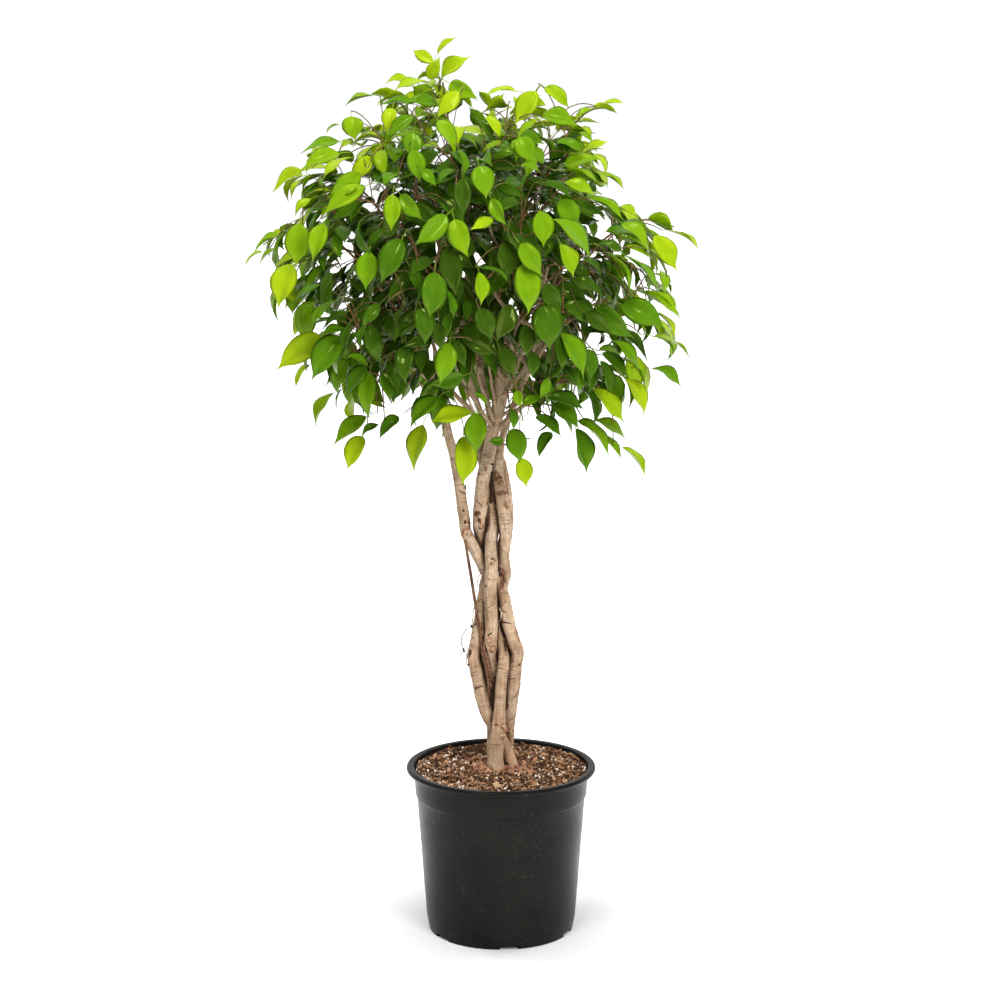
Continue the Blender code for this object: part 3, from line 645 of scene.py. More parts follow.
# %% [markdown]
# ## The plaited stems
# A grower plants five young figs in one pot and braids them while they are soft. They thicken until they press on
# each other. Each stem follows a smooth line through the same points as its CAD node, and crossing stems are
# moved apart in depth by the same rule. The bark is then a grid wrapped round that line, so that it has a UV map
# in metres: across the stem and along it.
# %% The stems' lines
# Each line's points as (x, y, height, radius).
STEMS = {
    "stem_front": (
        (-0.008, -0.006, 0.16, 0.0115), (-0.007, -0.0125, 0.207, 0.013), (-0.0051, -0.015, 0.247, 0.0116),
        (-0.0012, -0.015, 0.2995, 0.0098), (0.0002, -0.014, 0.339, 0.009), (-0.001, -0.004, 0.368, 0.0086),
        (-0.0035, 0.01, 0.404, 0.0085), (-0.0015, 0.011, 0.443, 0.0083), (0.0013, 0.003, 0.4815, 0.0082),
        (0.003, -0.005, 0.507, 0.0078), (0.0036, -0.007, 0.533, 0.008), (0.0018, -0.002, 0.558, 0.008),
        (-0.0037, 0.008, 0.59, 0.0078), (-0.0035, 0.009, 0.612, 0.0076), (0.004, 0.009, 0.645, 0.0072),
        (0.03, 0.028, 0.71, 0.0062), (0.062, 0.05, 0.79, 0.0048), (0.08, 0.062, 0.86, 0.0034),
    ),
    "stem_centre": (
        (-0.004, 0.02, 0.16, 0.0085), (-0.005, 0.02, 0.207, 0.0086), (-0.008, 0.016, 0.273, 0.0086),
        (-0.0114, 0.004, 0.3257, 0.0088), (-0.0118, -0.006, 0.352, 0.0088), (-0.012, -0.011, 0.378, 0.0086),
        (-0.012, -0.013, 0.43, 0.0084), (-0.0119, -0.01, 0.4815, 0.0082), (-0.0116, -0.006, 0.507, 0.008),
        (-0.0113, 0.0, 0.533, 0.008), (-0.014, 0.008, 0.558, 0.0078), (-0.019, 0.009, 0.59, 0.0076),
        (-0.023, 0.006, 0.62, 0.0074), (-0.0228, -0.001, 0.655, 0.0068), (-0.03, -0.01, 0.685, 0.0062),
        (-0.05, -0.04, 0.75, 0.0052), (-0.068, -0.072, 0.82, 0.004), (-0.074, -0.088, 0.875, 0.0032),
    ),
    "stem_left": (
        (0.012, -0.002, 0.16, 0.0082), (0.013, -0.004, 0.21, 0.0084), (0.0, 0.005, 0.247, 0.0084),
        (-0.0216, -0.001, 0.293, 0.0086), (-0.0303, -0.006, 0.345, 0.0086), (-0.0303, -0.006, 0.378, 0.0085),
        (-0.0227, 0.001, 0.4235, 0.0084), (-0.0176, 0.005, 0.443, 0.0082), (-0.008, 0.013, 0.475, 0.008),
        (0.005, 0.013, 0.507, 0.0078), (0.0075, 0.012, 0.545, 0.0076), (0.002, 0.018, 0.585, 0.0074),
        (-0.01, 0.02, 0.64, 0.007), (-0.022, 0.045, 0.7, 0.006), (-0.038, 0.078, 0.78, 0.0048),
        (-0.044, 0.098, 0.855, 0.0034),
    ),
    "stem_right": (
        (0.001, 0.006, 0.16, 0.006), (0.002, 0.01, 0.207, 0.0066), (0.007, 0.02, 0.247, 0.0078),
        (0.0152, 0.004, 0.313, 0.0086), (0.0164, -0.003, 0.3585, 0.0086), (0.0088, -0.008, 0.404, 0.0084),
        (0.0013, -0.003, 0.4365, 0.008), (-0.011, 0.006, 0.461, 0.0078), (-0.022, 0.002, 0.477, 0.0076),
        (-0.0314, -0.002, 0.4945, 0.0076), (-0.0413, -0.002, 0.52, 0.0074), (-0.0475, 0.0, 0.5457, 0.007),
        (-0.0512, 0.0, 0.571, 0.0066), (-0.0573, 0.0, 0.609, 0.0062), (-0.0672, 0.0, 0.647, 0.0058),
        (-0.0744, 0.0, 0.679, 0.0055), (-0.1, 0.008, 0.745, 0.0048), (-0.128, 0.01, 0.815, 0.0038),
        (-0.138, 0.008, 0.87, 0.0032),
    ),
    "stem_back": (
        (0.01, 0.024, 0.16, 0.008), (0.006, 0.03, 0.207, 0.0082), (0.003, 0.03, 0.28, 0.0084),
        (0.0, 0.022, 0.36, 0.0085), (-0.008, 0.02, 0.43, 0.0084), (-0.02, 0.016, 0.475, 0.0084),
        (-0.0255, 0.006, 0.507, 0.0085), (-0.0263, -0.006, 0.533, 0.0086), (-0.025, -0.01, 0.558, 0.0087),
        (-0.0224, -0.011, 0.59, 0.0086), (-0.0162, -0.011, 0.6155, 0.0084), (-0.0125, -0.011, 0.635, 0.008),
        (-0.0075, -0.012, 0.658, 0.0076), (0.0025, -0.013, 0.6935, 0.007), (0.016, -0.02, 0.7225, 0.0056),
        (0.04, -0.048, 0.79, 0.0046), (0.056, -0.072, 0.86, 0.0034),
    ),
    "aerial_root": (
        (-0.0145, -0.014, 0.308, 0.0014), (-0.019, -0.015, 0.35, 0.0019), (-0.028, -0.015, 0.4014, 0.002),
        (-0.037, -0.013, 0.46, 0.002), (-0.045, -0.012, 0.51, 0.0018),
    ),
}
# The middle of the part of the crown that each stem feeds, as a heading in degrees.
SECTORS = {"stem_front": 35, "stem_left": 105, "stem_right": 177, "stem_centre": 242, "stem_back": 312}
LINE_SPACING = 0.007
# The least room between two stems, as a share of the thinner one's radius, how often and how far they are moved
# apart, and what share of a move is made along x, y and z.
CLEARANCE = 0.18
SETTLE_ROUNDS = 160
SETTLE_STEP = 0.002
SETTLE_GIVE = np.array([0.45, 1.0, 0.0])


def smooth_line(points, spacing):
    """Points at an even spacing on a Catmull-Rom curve through the given ones, with their radii."""
    points = np.array(points, float)
    ends = np.vstack([2 * points[0] - points[1], points, 2 * points[-1] - points[-2]])
    fine = []
    for a, b, c, d in zip(ends, ends[1:], ends[2:], ends[3:]):
        for t in np.arange(0, 1, 0.02):
            curve = 2 * b + (c - a) * t + (2 * a - 5 * b + 4 * c - d) * t**2
            fine.append((curve + (3 * b - a - 3 * c + d) * t**3) / 2)
    fine = np.array([*fine, points[-1]])
    along = np.append(0, np.cumsum(np.linalg.norm(np.diff(fine[:, :3], axis=0), axis=1)))
    wanted = np.linspace(0, along[-1], max(2, round(along[-1] / spacing) + 1))
    return np.column_stack([np.interp(wanted, along, column) for column in fine.T])


def eased(push):
    """A push spread along a stem, so that the stem bends instead of kinking."""
    for _ in range(6):
        padded = np.vstack([push[:1], push, push[-1:]])
        push = (padded[:-2] + 2 * padded[1:-1] + padded[2:]) / 4
    return push


def settle(lines):
    """Moves crossing stems apart until each pair clears."""
    for _ in range(SETTLE_ROUNDS):
        pushes = [np.zeros((len(line), 3)) for line in lines]
        for i, first in enumerate(lines):
            for j, second in enumerate(lines[:i]):
                apart = first[:, None, :3] - second[None, :, :3]
                distance = np.linalg.norm(apart, axis=2)
                room = CLEARANCE * np.minimum(first[:, None, 3], second[None, :, 3])
                short = first[:, None, 3] + second[None, :, 3] + room - distance
                for who, axis, sign in ((i, 1, 1), (j, 0, -1)):
                    worst = short.argmax(axis)
                    at = (np.arange(len(worst)), worst) if axis == 1 else (worst, np.arange(len(worst)))
                    depth = np.clip(short[at], 0, SETTLE_STEP)
                    pushes[who] += sign * apart[at] / distance[at][:, None] * depth[:, None] * SETTLE_GIVE
        for line, push in zip(lines, pushes):
            line[:, :3] += 0.8 * eased(push) + 0.2 * push
    return lines


LINES = dict(zip(STEMS, settle([smooth_line(points, LINE_SPACING) for points in STEMS.values()])))
print("points on each line:", {name: len(line) for name, line in LINES.items()})

# %% [markdown]
# ### Tubes from grids
# A tube is a flat grid rolled up round its line. Its UV map is laid in metres, so that bark has the same scale on
# thick stems and on thin twigs, and a shape function may change the radius from place to place.
# %% Wrap a grid round a line
def frames_along(line):
    """At each point of a line, two directions square to it that turn as little as they can."""
    ahead = np.gradient(np.array(line)[:, :3], axis=0)
    tangents = [Vector(row).normalized() for row in ahead]
    across = tangents[0].orthogonal().normalized()
    frames = []
    for tangent in tangents:
        across = (across - tangent * across.dot(tangent)).normalized()
        frames.append((across, tangent.cross(across)))
    return frames


def wrap(edit, line, sides, shape=None, closed=True):
    """Adds a tube round a line whose fourth column is its radius: a grid, rolled up, welded and capped."""
    line = np.asarray(line)
    frames = frames_along(line)
    along = np.append(0, np.cumsum(np.linalg.norm(np.diff(line[:, :3], axis=0), axis=1)))
    grid = bmesh.ops.create_grid(edit, x_segments=sides, y_segments=len(line) - 1, size=0.5)["verts"]
    girth = math.tau * float(line[:, 3].mean())
    uv = edit.loops.layers.uv.verify()
    spots = {}
    for vert in grid:
        spots[vert] = (round((vert.co.x + 0.5) * sides), round((vert.co.y + 0.5) * (len(line) - 1)))
    for face in {face for vert in grid for face in vert.link_faces}:
        for loop in face.loops:
            turn, ring = spots[loop.vert]
            loop[uv].uv = (turn / sides * girth, along[ring])
    for vert, (turn, ring) in spots.items():
        x, y, z, radius = line[ring]
        angle = math.tau * turn / sides
        if shape:
            radius *= shape(Vector((x, y, z)), angle, along[ring])
        across, beside = frames[ring]
        vert.co = Vector((x, y, z)) + (across * math.cos(angle) + beside * math.sin(angle)) * radius
    bmesh.ops.remove_doubles(edit, verts=grid, dist=radius * 0.02 + 1e-7)
    if closed:
        rims = [edge for vert in grid if vert.is_valid for edge in vert.link_edges if edge.is_boundary]
        bmesh.ops.holes_fill(edit, edges=list(dict.fromkeys(rims)), sides=sides + 1)


print("tubes are wrapped from grids")

# %% [markdown]
# ### Bark with rings and swellings
# Young fig bark is pale and thin. Every few centimetres a raised ring marks where a leaf once sat, and the wood
# between the rings is never quite round. Those forms are in the mesh, and finer wrinkles are left to the material.
# %% Stem shape
RING_SPACING = 0.031
# How far from the next stem the bark still counts as lying in a gap, where it gets painted shade.
GAP_REACH = 0.0085


def stem_shape(seed):
    """How far from round a stem is, for a stem of this seed."""
    def shape(place, angle, along):
        ring = along / RING_SPACING + 0.35 * noise.noise(Vector((seed, along * 20.0, 0.0)))
        near = abs(ring - round(ring)) * RING_SPACING
        swell = 0.040 * math.exp(-((near / 0.0022) ** 2))
        round_about = Vector((math.cos(angle), math.sin(angle), 0.0))
        wave = 0.130 * noise.noise(round_about + Vector((0.0, 0.0, along * 26.0 + seed * 9.0)))
        ridges = 0.085 * noise.noise(round_about * 2.2 + Vector((seed, 0.0, along * 13.0)))
        lumps = 0.060 * noise.noise(place * 70.0 + Vector((seed, 0.0, 0.0))) + 0.035 * noise.noise(place * 210.0)
        return 0.97 + swell + wave + ridges + lumps
    return shape


# The height above which each stem thins into a limb.
LIMB_HEIGHTS = {"stem_front": 0.606, "stem_left": 0.600, "stem_centre": 0.640, "stem_right": 0.700, "stem_back": 0.684}
LIMB_THINNING = 0.42
LIMB_BLEND = 0.030
FINE_SPACING = 0.0030
# The front stem is slender where it crosses the others, as (height, share of its common thickness).
FRONT_SLENDER = ((0.20, 0.86), (0.25, 0.84), (0.30, 0.76), (0.36, 0.80), (0.42, 0.92), (0.50, 1.0))


def fine_line(name):
    """A stem's line at a close spacing, thinned above the fork."""
    line = smooth_line(LINES[name], FINE_SPACING)
    above = np.clip((line[:, 2] - LIMB_HEIGHTS.get(name, math.inf)) / LIMB_BLEND, 0, 1)
    line[:, 3] *= 1 - LIMB_THINNING * above
    if name == "stem_front":
        line[:, 3] *= np.interp(line[:, 2], *zip(*FRONT_SLENDER))
    return line


def mark_gap_shade(edit, name):
    """Writes on each vertex of a stem how deep it lies in a gap between the stems, from 0 to 1, for painted shade."""
    layer = edit.verts.layers.float.new("gap")
    others = np.vstack([fine_line(other) for other in SECTORS if other != name])
    for vert in edit.verts:
        room = (np.linalg.norm(others[:, :3] - vert.co, axis=1) - others[:, 3]).min()
        vert[layer] = min(max(1.0 - room / GAP_REACH, 0.0), 1.0)


print("rings every", RING_SPACING, "m")

# %% [markdown]
# ### Bark finish
# The bark is a warm grey tan. Fine cracks run round the stem, darker where they gather, and pale lenticels lie
# along them. A group draws the cracks from the UV map, so that they follow each stem as it winds, and the stems,
# the limbs and the twigs use it with their own colours.
# %% Crack group
def stretched(tree, where, scale):
    """A vector output scaled along each axis on its own."""
    node = add(tree, "ShaderNodeMapping")
    node.inputs["Scale"].default_value = scale
    join(tree, where, node.inputs["Vector"])
    return node.outputs[0]


def crack_group():
    """Thin dark lines that gather round a stem in places, pale lenticels, streaks along it, and their height."""
    group = bpy.data.node_groups.new("bark cracks", "ShaderNodeTree")
    face = group.interface
    face.new_socket("Scale", in_out="INPUT", socket_type="NodeSocketFloat")
    for name in ("Cracks", "Lenticels", "Streaks", "Height"):
        face.new_socket(name, in_out="OUTPUT", socket_type="NodeSocketFloat")
    given, made = group.nodes.new("NodeGroupInput"), group.nodes.new("NodeGroupOutput")
    place = group.nodes.new("ShaderNodeTexCoord").outputs["UV"]
    scaled = group.nodes.new("ShaderNodeVectorMath")
    scaled.operation = "SCALE"
    join(group, place, scaled.inputs[0])
    join(group, given.outputs["Scale"], scaled.inputs["Scale"])
    lines = grain(group, stretched(group, scaled.outputs[0], (70.0, 520.0, 1.0)), 1.0, 4.0, 0.62)
    gathered = ramp(group, grain(group, scaled.outputs[0], 30.0, 2.0), (0.46, 0.12), (0.62, 1.0))
    cracks = maths(group, "MULTIPLY", ramp(group, lines, (0.36, 1.0), (0.47, 0.0)), gathered)
    streaks = grain(group, stretched(group, scaled.outputs[0], (420.0, 26.0, 1.0)), 1.0, 4.0, 0.6)
    flecks = stretched(group, scaled.outputs[0], (210.0, 640.0, 1.0))
    cells = add(group, "ShaderNodeTexVoronoi", scale=1.0)
    join(group, flecks, cells.inputs["Vector"])
    dots = ramp(group, cells.outputs["Distance"], (0.10, 1.0), (0.26, 0.0))
    rare = ramp(group, grain(group, flecks, 0.45, 1.0), (0.50, 0.0), (0.60, 1.0))
    lenticels = maths(group, "MULTIPLY", dots, rare)
    rise = maths(group, "MULTIPLY", lenticels, 0.5)
    height = maths(group, "SUBTRACT", rise, maths(group, "MULTIPLY", cracks, 0.8))
    join(group, cracks, made.inputs["Cracks"])
    join(group, lenticels, made.inputs["Lenticels"])
    join(group, streaks, made.inputs["Streaks"])
    join(group, height, made.inputs["Height"])
    return group


CRACKS = crack_group()


def bark(name, pale, tan, dark, crack, scale=1.0):
    """Pale, tan and dark bark, painted brown to near black as shade deep in a gap, and green on young wood."""
    made, tree, shader = new_material(name)
    where = tree.nodes.new("ShaderNodeTexCoord").outputs["Object"]
    node = tree.nodes.new("ShaderNodeGroup")
    node.node_tree = CRACKS
    node.inputs["Scale"].default_value = scale
    crack_tint = tuple(0.5 * (a + b) for a, b in zip(dark, crack))
    drift = ramp(tree, grain(tree, where, 30.0, 5.0, 0.60), (0.26, dark), (0.45, tan), (0.64, pale))
    fine = ramp(tree, grain(tree, where, 420.0, 4.0, 0.7), (0.3, 0.72), (0.7, 1.16))
    mottled = blend(tree, 1.0, drift, fine, "MULTIPLY")
    stain = ramp(tree, grain(tree, where, 62.0, 5.0, 0.70), (0.52, 0.0), (0.70, 0.55))
    stained = blend(tree, maths(tree, "MULTIPLY", stain, 0.70), mottled, crack_tint)
    patches = ramp(tree, grain(tree, where, 150.0, 5.0, 0.72), (0.36, 0.82), (0.58, 1.06))
    patchy = blend(tree, 1.0, stained, patches, "MULTIPLY")
    streaks = ramp(tree, node.outputs["Streaks"], (0.35, 0.78), (0.60, 1.08))
    streaked = blend(tree, 1.0, patchy, streaks, "MULTIPLY")
    lined = blend(tree, maths(tree, "MULTIPLY", node.outputs["Cracks"], 0.72), streaked, crack)
    freckled = blend(tree, maths(tree, "MULTIPLY", node.outputs["Lenticels"], 0.45), lined, pale)
    # Painted shade between the stems: brown where a stem nears the next, near black deep in the gap.
    gap = add(tree, "ShaderNodeAttribute", attribute_name="gap").outputs["Fac"]
    ragged = maths(tree, "ADD", gap, swung(tree, grain(tree, where, 260.0, 3.0), 0.5))
    gap_browned = blend(tree, ramp(tree, ragged, (0.10, 0.0), (0.50, 0.70)), freckled, (0.230, 0.120, 0.060))
    gap_shaded = blend(tree, ramp(tree, ragged, (0.38, 0.0), (0.80, 0.94)), gap_browned, (0.034, 0.015, 0.008))
    up = tree.nodes.new("ShaderNodeSeparateXYZ")
    join(tree, where, up.inputs[0])
    soiled = ramp(tree, up.outputs["Z"], (0.26, (0.88, 0.84, 0.80)), (0.48, (1.0, 1.0, 1.0)))
    worn = blend(tree, 1.0, gap_shaded, soiled, "MULTIPLY")
    green = add(tree, "ShaderNodeAttribute", attribute_name="young").outputs["Fac"]
    join(tree, blend(tree, green, worn, (0.060, 0.110, 0.012)), shader.inputs["Base Color"])
    shader.inputs["Roughness"].default_value = 0.72
    shader.inputs["Specular IOR Level"].default_value = 0.25
    pits = maths(tree, "MULTIPLY", grain(tree, where, 300.0, 5.0, 0.7), 0.8)
    bump(tree, maths(tree, "ADD", node.outputs["Height"], pits), 0.75, 0.0011, shader)
    return made


STEM_BARK = bark("stem bark", (0.66, 0.495, 0.345), (0.54, 0.372, 0.240), (0.33, 0.188, 0.100), (0.085, 0.036, 0.018))
LIMB_BARK = bark("limb bark", (0.60, 0.44, 0.29), (0.46, 0.31, 0.19), (0.28, 0.16, 0.08), (0.10, 0.05, 0.03), 1.6)
TWIG_BARK = bark("twig bark", (0.38, 0.22, 0.10), (0.28, 0.140, 0.058), (0.16, 0.07, 0.030), (0.07, 0.03, 0.02), 3.0)
ROOT_BARK = bark("root bark", (0.28, 0.16, 0.09), (0.17, 0.085, 0.045), (0.075, 0.035, 0.02), (0.03, 0.015, 0.01), 3.0)
print("bark finishes:", ", ".join(made.name for made in (STEM_BARK, LIMB_BARK, TWIG_BARK, ROOT_BARK)))

# %% [markdown]
# ### The stems' bark
# Each stem's bark stands for its CAD node. Old wood and dead roots fill the middle of the plait, painted near black
# as shade, so that it shows dark between the stems. One thin aerial root runs down over them.
# %% Wrap the stems
STEM_SIDES = 40
STEM_PIECES = {}
for number, name in enumerate(SECTORS):
    edit = bmesh.new()
    wrap(edit, fine_line(name), STEM_SIDES, stem_shape(number * 3.7))
    mark_gap_shade(edit, name)
    STEM_PIECES[name] = make_piece(edit, f"{name}_bark", STEM_BARK, "fig_bark", name)
# The plait's middle holds dead bark and old roots, painted near black as shade, as (x, y, height, radius).
PLAIT_SHADE_CORE = (
    (-0.014, 0.002, 0.600, 0.0015), (-0.012, 0.002, 0.584, 0.0030), (-0.011, 0.001, 0.565, 0.0036),
    (-0.015, 0.002, 0.546, 0.0030), (-0.020, 0.002, 0.507, 0.0045), (-0.018, 0.002, 0.482, 0.0040),
    (-0.011, 0.003, 0.430, 0.0070), (-0.010, 0.004, 0.378, 0.0100), (-0.012, 0.005, 0.352, 0.0105),
    (-0.012, 0.004, 0.326, 0.0095), (-0.008, 0.003, 0.300, 0.0080), (-0.004, 0.002, 0.273, 0.0065),
    (-0.002, 0.002, 0.235, 0.0050),
)
edit = bmesh.new()
wrap(edit, smooth_line(PLAIT_SHADE_CORE, 0.004), 16, stem_shape(51.0))
# Full painted shade on every vertex.
layer = edit.verts.layers.float.new("gap")
for vert in edit.verts:
    vert[layer] = 1.0
make_piece(edit, "plait_shade_core", STEM_BARK, "fig_bark")
edit = bmesh.new()
wrap(edit, fine_line("aerial_root"), 8)
make_piece(edit, "aerial_root_bark", ROOT_BARK, "root_bark", "aerial_root")

# %% [markdown]
# One thick limb was cut short when the tree was trained. Its stub stands beside the branch that took over.
# %% Cut limb
# Its points as (x, y, height, radius).
CUT_LIMB = ((-0.0062, -0.0120, 0.662, 0.0074), (-0.0035, -0.0140, 0.680, 0.0079), (-0.0008, -0.0150, 0.700, 0.0078),
            (0.0000, -0.0150, 0.7185, 0.0072))
edit = bmesh.new()
wrap(edit, smooth_line(CUT_LIMB, 0.003), 24, stem_shape(31.0))
make_piece(edit, "cut_limb", STEM_BARK, "fig_bark")

# %% [markdown]
# ### Scars, knots and clinging roots
# Where a branch was cut away the bark heals in a brown, ragged scar. Thin roots grow out of the plait, cling to it
# or hang free. Each mark is given where it is seen from the front, across from the pot's axis and above the floor,
# in millimetres, and a ray finds the bark there.
# %% Find the bark
def bark_tree():
    """A search tree of all the stems' faces."""
    verts, faces = [], []
    for piece in STEM_PIECES.values():
        first = len(verts)
        verts += [vert.co.copy() for vert in piece.data.vertices]
        faces += [[first + index for index in face.vertices] for face in piece.data.polygons]
    return BVHTree.FromPolygons(verts, faces)


BARK_TREE = bark_tree()


def on_bark(across, up):
    """The bark's point that hides the point (across, up) of the trunk's plane from the front, and its normal."""
    eye, mark = Vector(CAMERA_PLACE), Vector((across / 1000, 0.0, up / 1000))
    place, normal, _, _ = BARK_TREE.ray_cast(eye, mark - eye)
    if place is None:
        place, normal, _, _ = BARK_TREE.find_nearest(mark)
    return place, normal


print("bark found at", on_bark(-10, 450)[0][:])

# %% [markdown]
# Each scar is a ragged lump, flattened against the bark and turned the way it has healed. Its tone picks its colour,
# from near black by browns to pale wood.
# %% Scars and knots
# Each as (across, up, width, height, turn in degrees, how far it stands out, tone).
SCARS = (
    (-6, 591, 6, 6, 20, 0.30, 0.60), (-2, 589, 4, 12, 35, 0.30, 0.50), (-6, 584, 9, 4, 30, 0.25, 0.45),
    (-1, 581, 4, 8, -30, 0.25, 0.52), (1, 567, 11, 5, 5, 0.45, 0.45), (6, 553, 5, 13, 15, 0.35, 0.62),
    (-19, 598, 4, 5, 0, 0.30, 0.60), (-20, 603, 3, 3, 0, 0.30, 0.75), (-11, 604, 3, 3, 0, 0.30, 0.18),
    (-42, 575, 4, 6, 0, 0.50, 0.18), (-47, 545, 3, 3, 0, 0.40, 0.15), (-45, 530, 3, 4, 0, 0.40, 0.18),
    (-41, 530, 3, 3, 0, 0.40, 0.25), (-46, 516, 6, 10, -10, 0.55, 0.78), (-39, 515, 6, 10, 15, 0.55, 0.82),
    (-42, 520, 9, 5, 0, 0.50, 0.66), (-30, 541, 8, 7, 20, 0.60, 0.40), (-25, 525, 6, 9, 10, 0.60, 0.68),
    (-27, 532, 4, 8, 20, 0.45, 0.30), (-11, 483, 3, 3, 0, 0.40, 0.16), (-7, 482, 4, 7, 0, 0.30, 0.72),
    (-12, 477, 4, 3, 20, 0.30, 0.55), (2, 467, 8, 9, 20, 1.10, 0.45), (0, 458, 5, 8, 0, 0.60, 0.55),
    (1, 450, 6, 10, -10, 0.45, 0.42), (0, 443, 5, 7, 10, 0.40, 0.60), (-19, 448, 4, 2, 0, 0.40, 0.18),
    (-13, 376, 10, 12, 25, 0.45, 0.76), (-10, 366, 9, 10, -10, 0.40, 0.60), (-16, 381, 6, 6, 10, 0.40, 0.84),
    (1, 394, 5, 15, 10, 0.25, 0.02), (3, 386, 4, 9, 15, 0.25, 0.03), (-39, 361, 4, 8, 0, 0.70, 0.20),
    (-41, 346, 3, 3, 0, 0.90, 0.25), (23, 346, 3, 3, 0, 0.90, 0.30), (9, 292, 3, 3, 0, 0.50, 0.42),
    (4, 263, 8, 14, 20, 0.45, 0.62), (8, 262, 6, 12, 10, 0.50, 0.50), (3, 252, 7, 10, -15, 0.45, 0.70),
    (-6, 267, 5, 3, 10, 0.30, 0.45), (-30, 316, 9, 3, 20, 0.40, 0.42), (-2, 517, 3, 3, 0, 0.40, 0.20),
)
FLAT_SCAR = 0.08


def scar_finish():
    """Healed bark: near black, brown, red-brown, ochre or pale by tone, and rough."""
    made, tree, shader = new_material("scar bark")
    where = tree.nodes.new("ShaderNodeTexCoord").outputs["Object"]
    tone = add(tree, "ShaderNodeAttribute", attribute_name="tone").outputs["Fac"]
    mottle = swung(tree, grain(tree, where, 300.0, 6.0, 0.75), 2.1)
    join(tree, ramp(
        tree, maths(tree, "ADD", tone, mottle), (0.0, (0.012, 0.007, 0.004)), (0.2, (0.065, 0.032, 0.019)),
        (0.45, (0.190, 0.086, 0.050)), (0.62, (0.340, 0.165, 0.095)), (0.80, (0.500, 0.310, 0.180)),
        (1.0, (0.700, 0.540, 0.380)),
    ), shader.inputs["Base Color"])
    shader.inputs["Roughness"].default_value = 0.75
    shader.inputs["Specular IOR Level"].default_value = 0.20
    bump(tree, grain(tree, where, 700.0, 5.0, 0.7), 0.8, 0.0012, shader)
    return made


def add_scar(edit, across, up, width, height, turn, out, tone):
    """A ragged lump on the bark: an icosphere pushed about by noise and flattened against the stem."""
    place, normal = on_bark(across, up)
    upward = (UP - normal * UP.dot(normal)).normalized()
    frame_here = Matrix((upward.cross(normal), upward, normal)).transposed().to_4x4()
    made = bmesh.ops.create_icosphere(edit, subdivisions=3, radius=1.0)["verts"]
    for vert in made:
        push = noise.noise(vert.co * 1.9 + place * 300.0) + 0.7 * noise.noise(vert.co * 4.5 + place * 300.0)
        vert.co *= 1 + 0.62 * push
    half = Matrix.Diagonal((width / 2000, height / 2000, (FLAT_SCAR + 0.5 * out) * min(width, height) / 1000, 1.0))
    turned = frame_here @ Matrix.Rotation(math.radians(turn), 4, "Z") @ half
    bmesh.ops.transform(edit, matrix=Matrix.Translation(place) @ turned, verts=made)
    layer = edit.verts.layers.float["tone"]
    for vert in made:
        vert[layer] = tone


SCAR_BARK = scar_finish()
edit = bmesh.new()
edit.verts.layers.float.new("tone")
for row in SCARS:
    add_scar(edit, *row)
make_piece(edit, "scars", SCAR_BARK, "fig_bark")

# %% [markdown]
# ### Thin roots and wrinkles
# Some roots cling to the bark, some hang free in front of it, and older ones lie between the stems. A wrinkle is made
# in the same way, as a thin fold that runs part of the way round a stem, coloured dark as painted shade for its crease.
# Roots also spread from the trunk's foot over the mix, and fibres lie on it.
# %% Clinging and hanging roots
# Roots on the bark, as (radius in millimetres, tone, points across and up).
CLINGING = (
    (0.6, 0.15, (-54, 572), (-49, 568), (-44, 567), (-38, 565)),
    (0.6, 0.18, (-31, 558), (-28, 555), (-24, 551), (-22, 547)),
    (0.8, 0.05, (-17, 561), (-14, 560), (-9, 558), (-7, 554), (-5, 549)),
    (0.9, 0.95, (-17, 556), (-19, 543), (-21, 530)),
    (0.6, 0.10, (-26, 401), (-21, 399)),
    (0.8, 0.15, (-1, 401), (5, 401), (11, 400), (15, 398)),
    (0.6, 0.45, (-2, 419), (3, 425), (8, 428)),
    (0.6, 0.35, (-1, 417), (6, 414), (11, 412)),
    (1.1, 0.95, (-3, 421), (1, 414), (0, 407), (-3, 400), (-5, 391)),
    (0.8, 0.15, (-18, 382), (-14, 386), (-10, 388)),
    (1.0, 0.38, (-33, 312), (-29, 317), (-25, 318), (-21, 316)),
    (0.7, 0.70, (10, 331), (15, 332), (21, 331)),
    (0.7, 0.25, (10, 327), (16, 328), (21, 327)),
    (0.7, 0.55, (10, 323), (15, 323), (20, 324)),
    (0.9, 0.40, (7, 308), (9, 292), (8, 284)),
    (1.5, 0.48, (-24, 394), (-22, 371), (-17, 345), (-10, 315)),
    (1.2, 0.40, (-20, 372), (-14, 348), (-9, 322), (-8, 300)),
    (1.0, 0.30, (3, 378), (5, 367), (6, 355)),
    (0.7, 0.55, (16, 352), (12, 346), (8, 340)),
)
# Free roots, in the same form. They are drawn 1.6 times as thick as written, and darker, so that they show.
HANGING_DEPTH = -0.012
HANGING = (
    (0.35, 0.60, (-25, 469), (-29, 460), (-30, 449), (-31, 439)),
    (0.40, 0.60, (-25, 434), (-30, 430), (-34, 422), (-35, 413), (-37, 399)),
    (0.42, 0.55, (-30, 403), (-37, 399), (-44, 394), (-49, 386), (-50, 378), (-48, 370), (-47, 368)),
    (0.35, 0.60, (-47, 368), (-51, 362), (-54, 355)),
    (0.40, 0.50, (-47, 368), (-43, 361), (-44, 355), (-43, 349), (-41, 347)),
    (0.38, 0.75, (16, 401), (20, 394), (22, 386), (23, 378)),
    (0.40, 0.40, (-29, 383), (-34, 385), (-38, 382)),
    (1.00, 0.25, (-38, 401), (-37, 399), (-36, 397)), (1.10, 0.20, (-48, 371), (-47, 368), (-46, 366)),
)
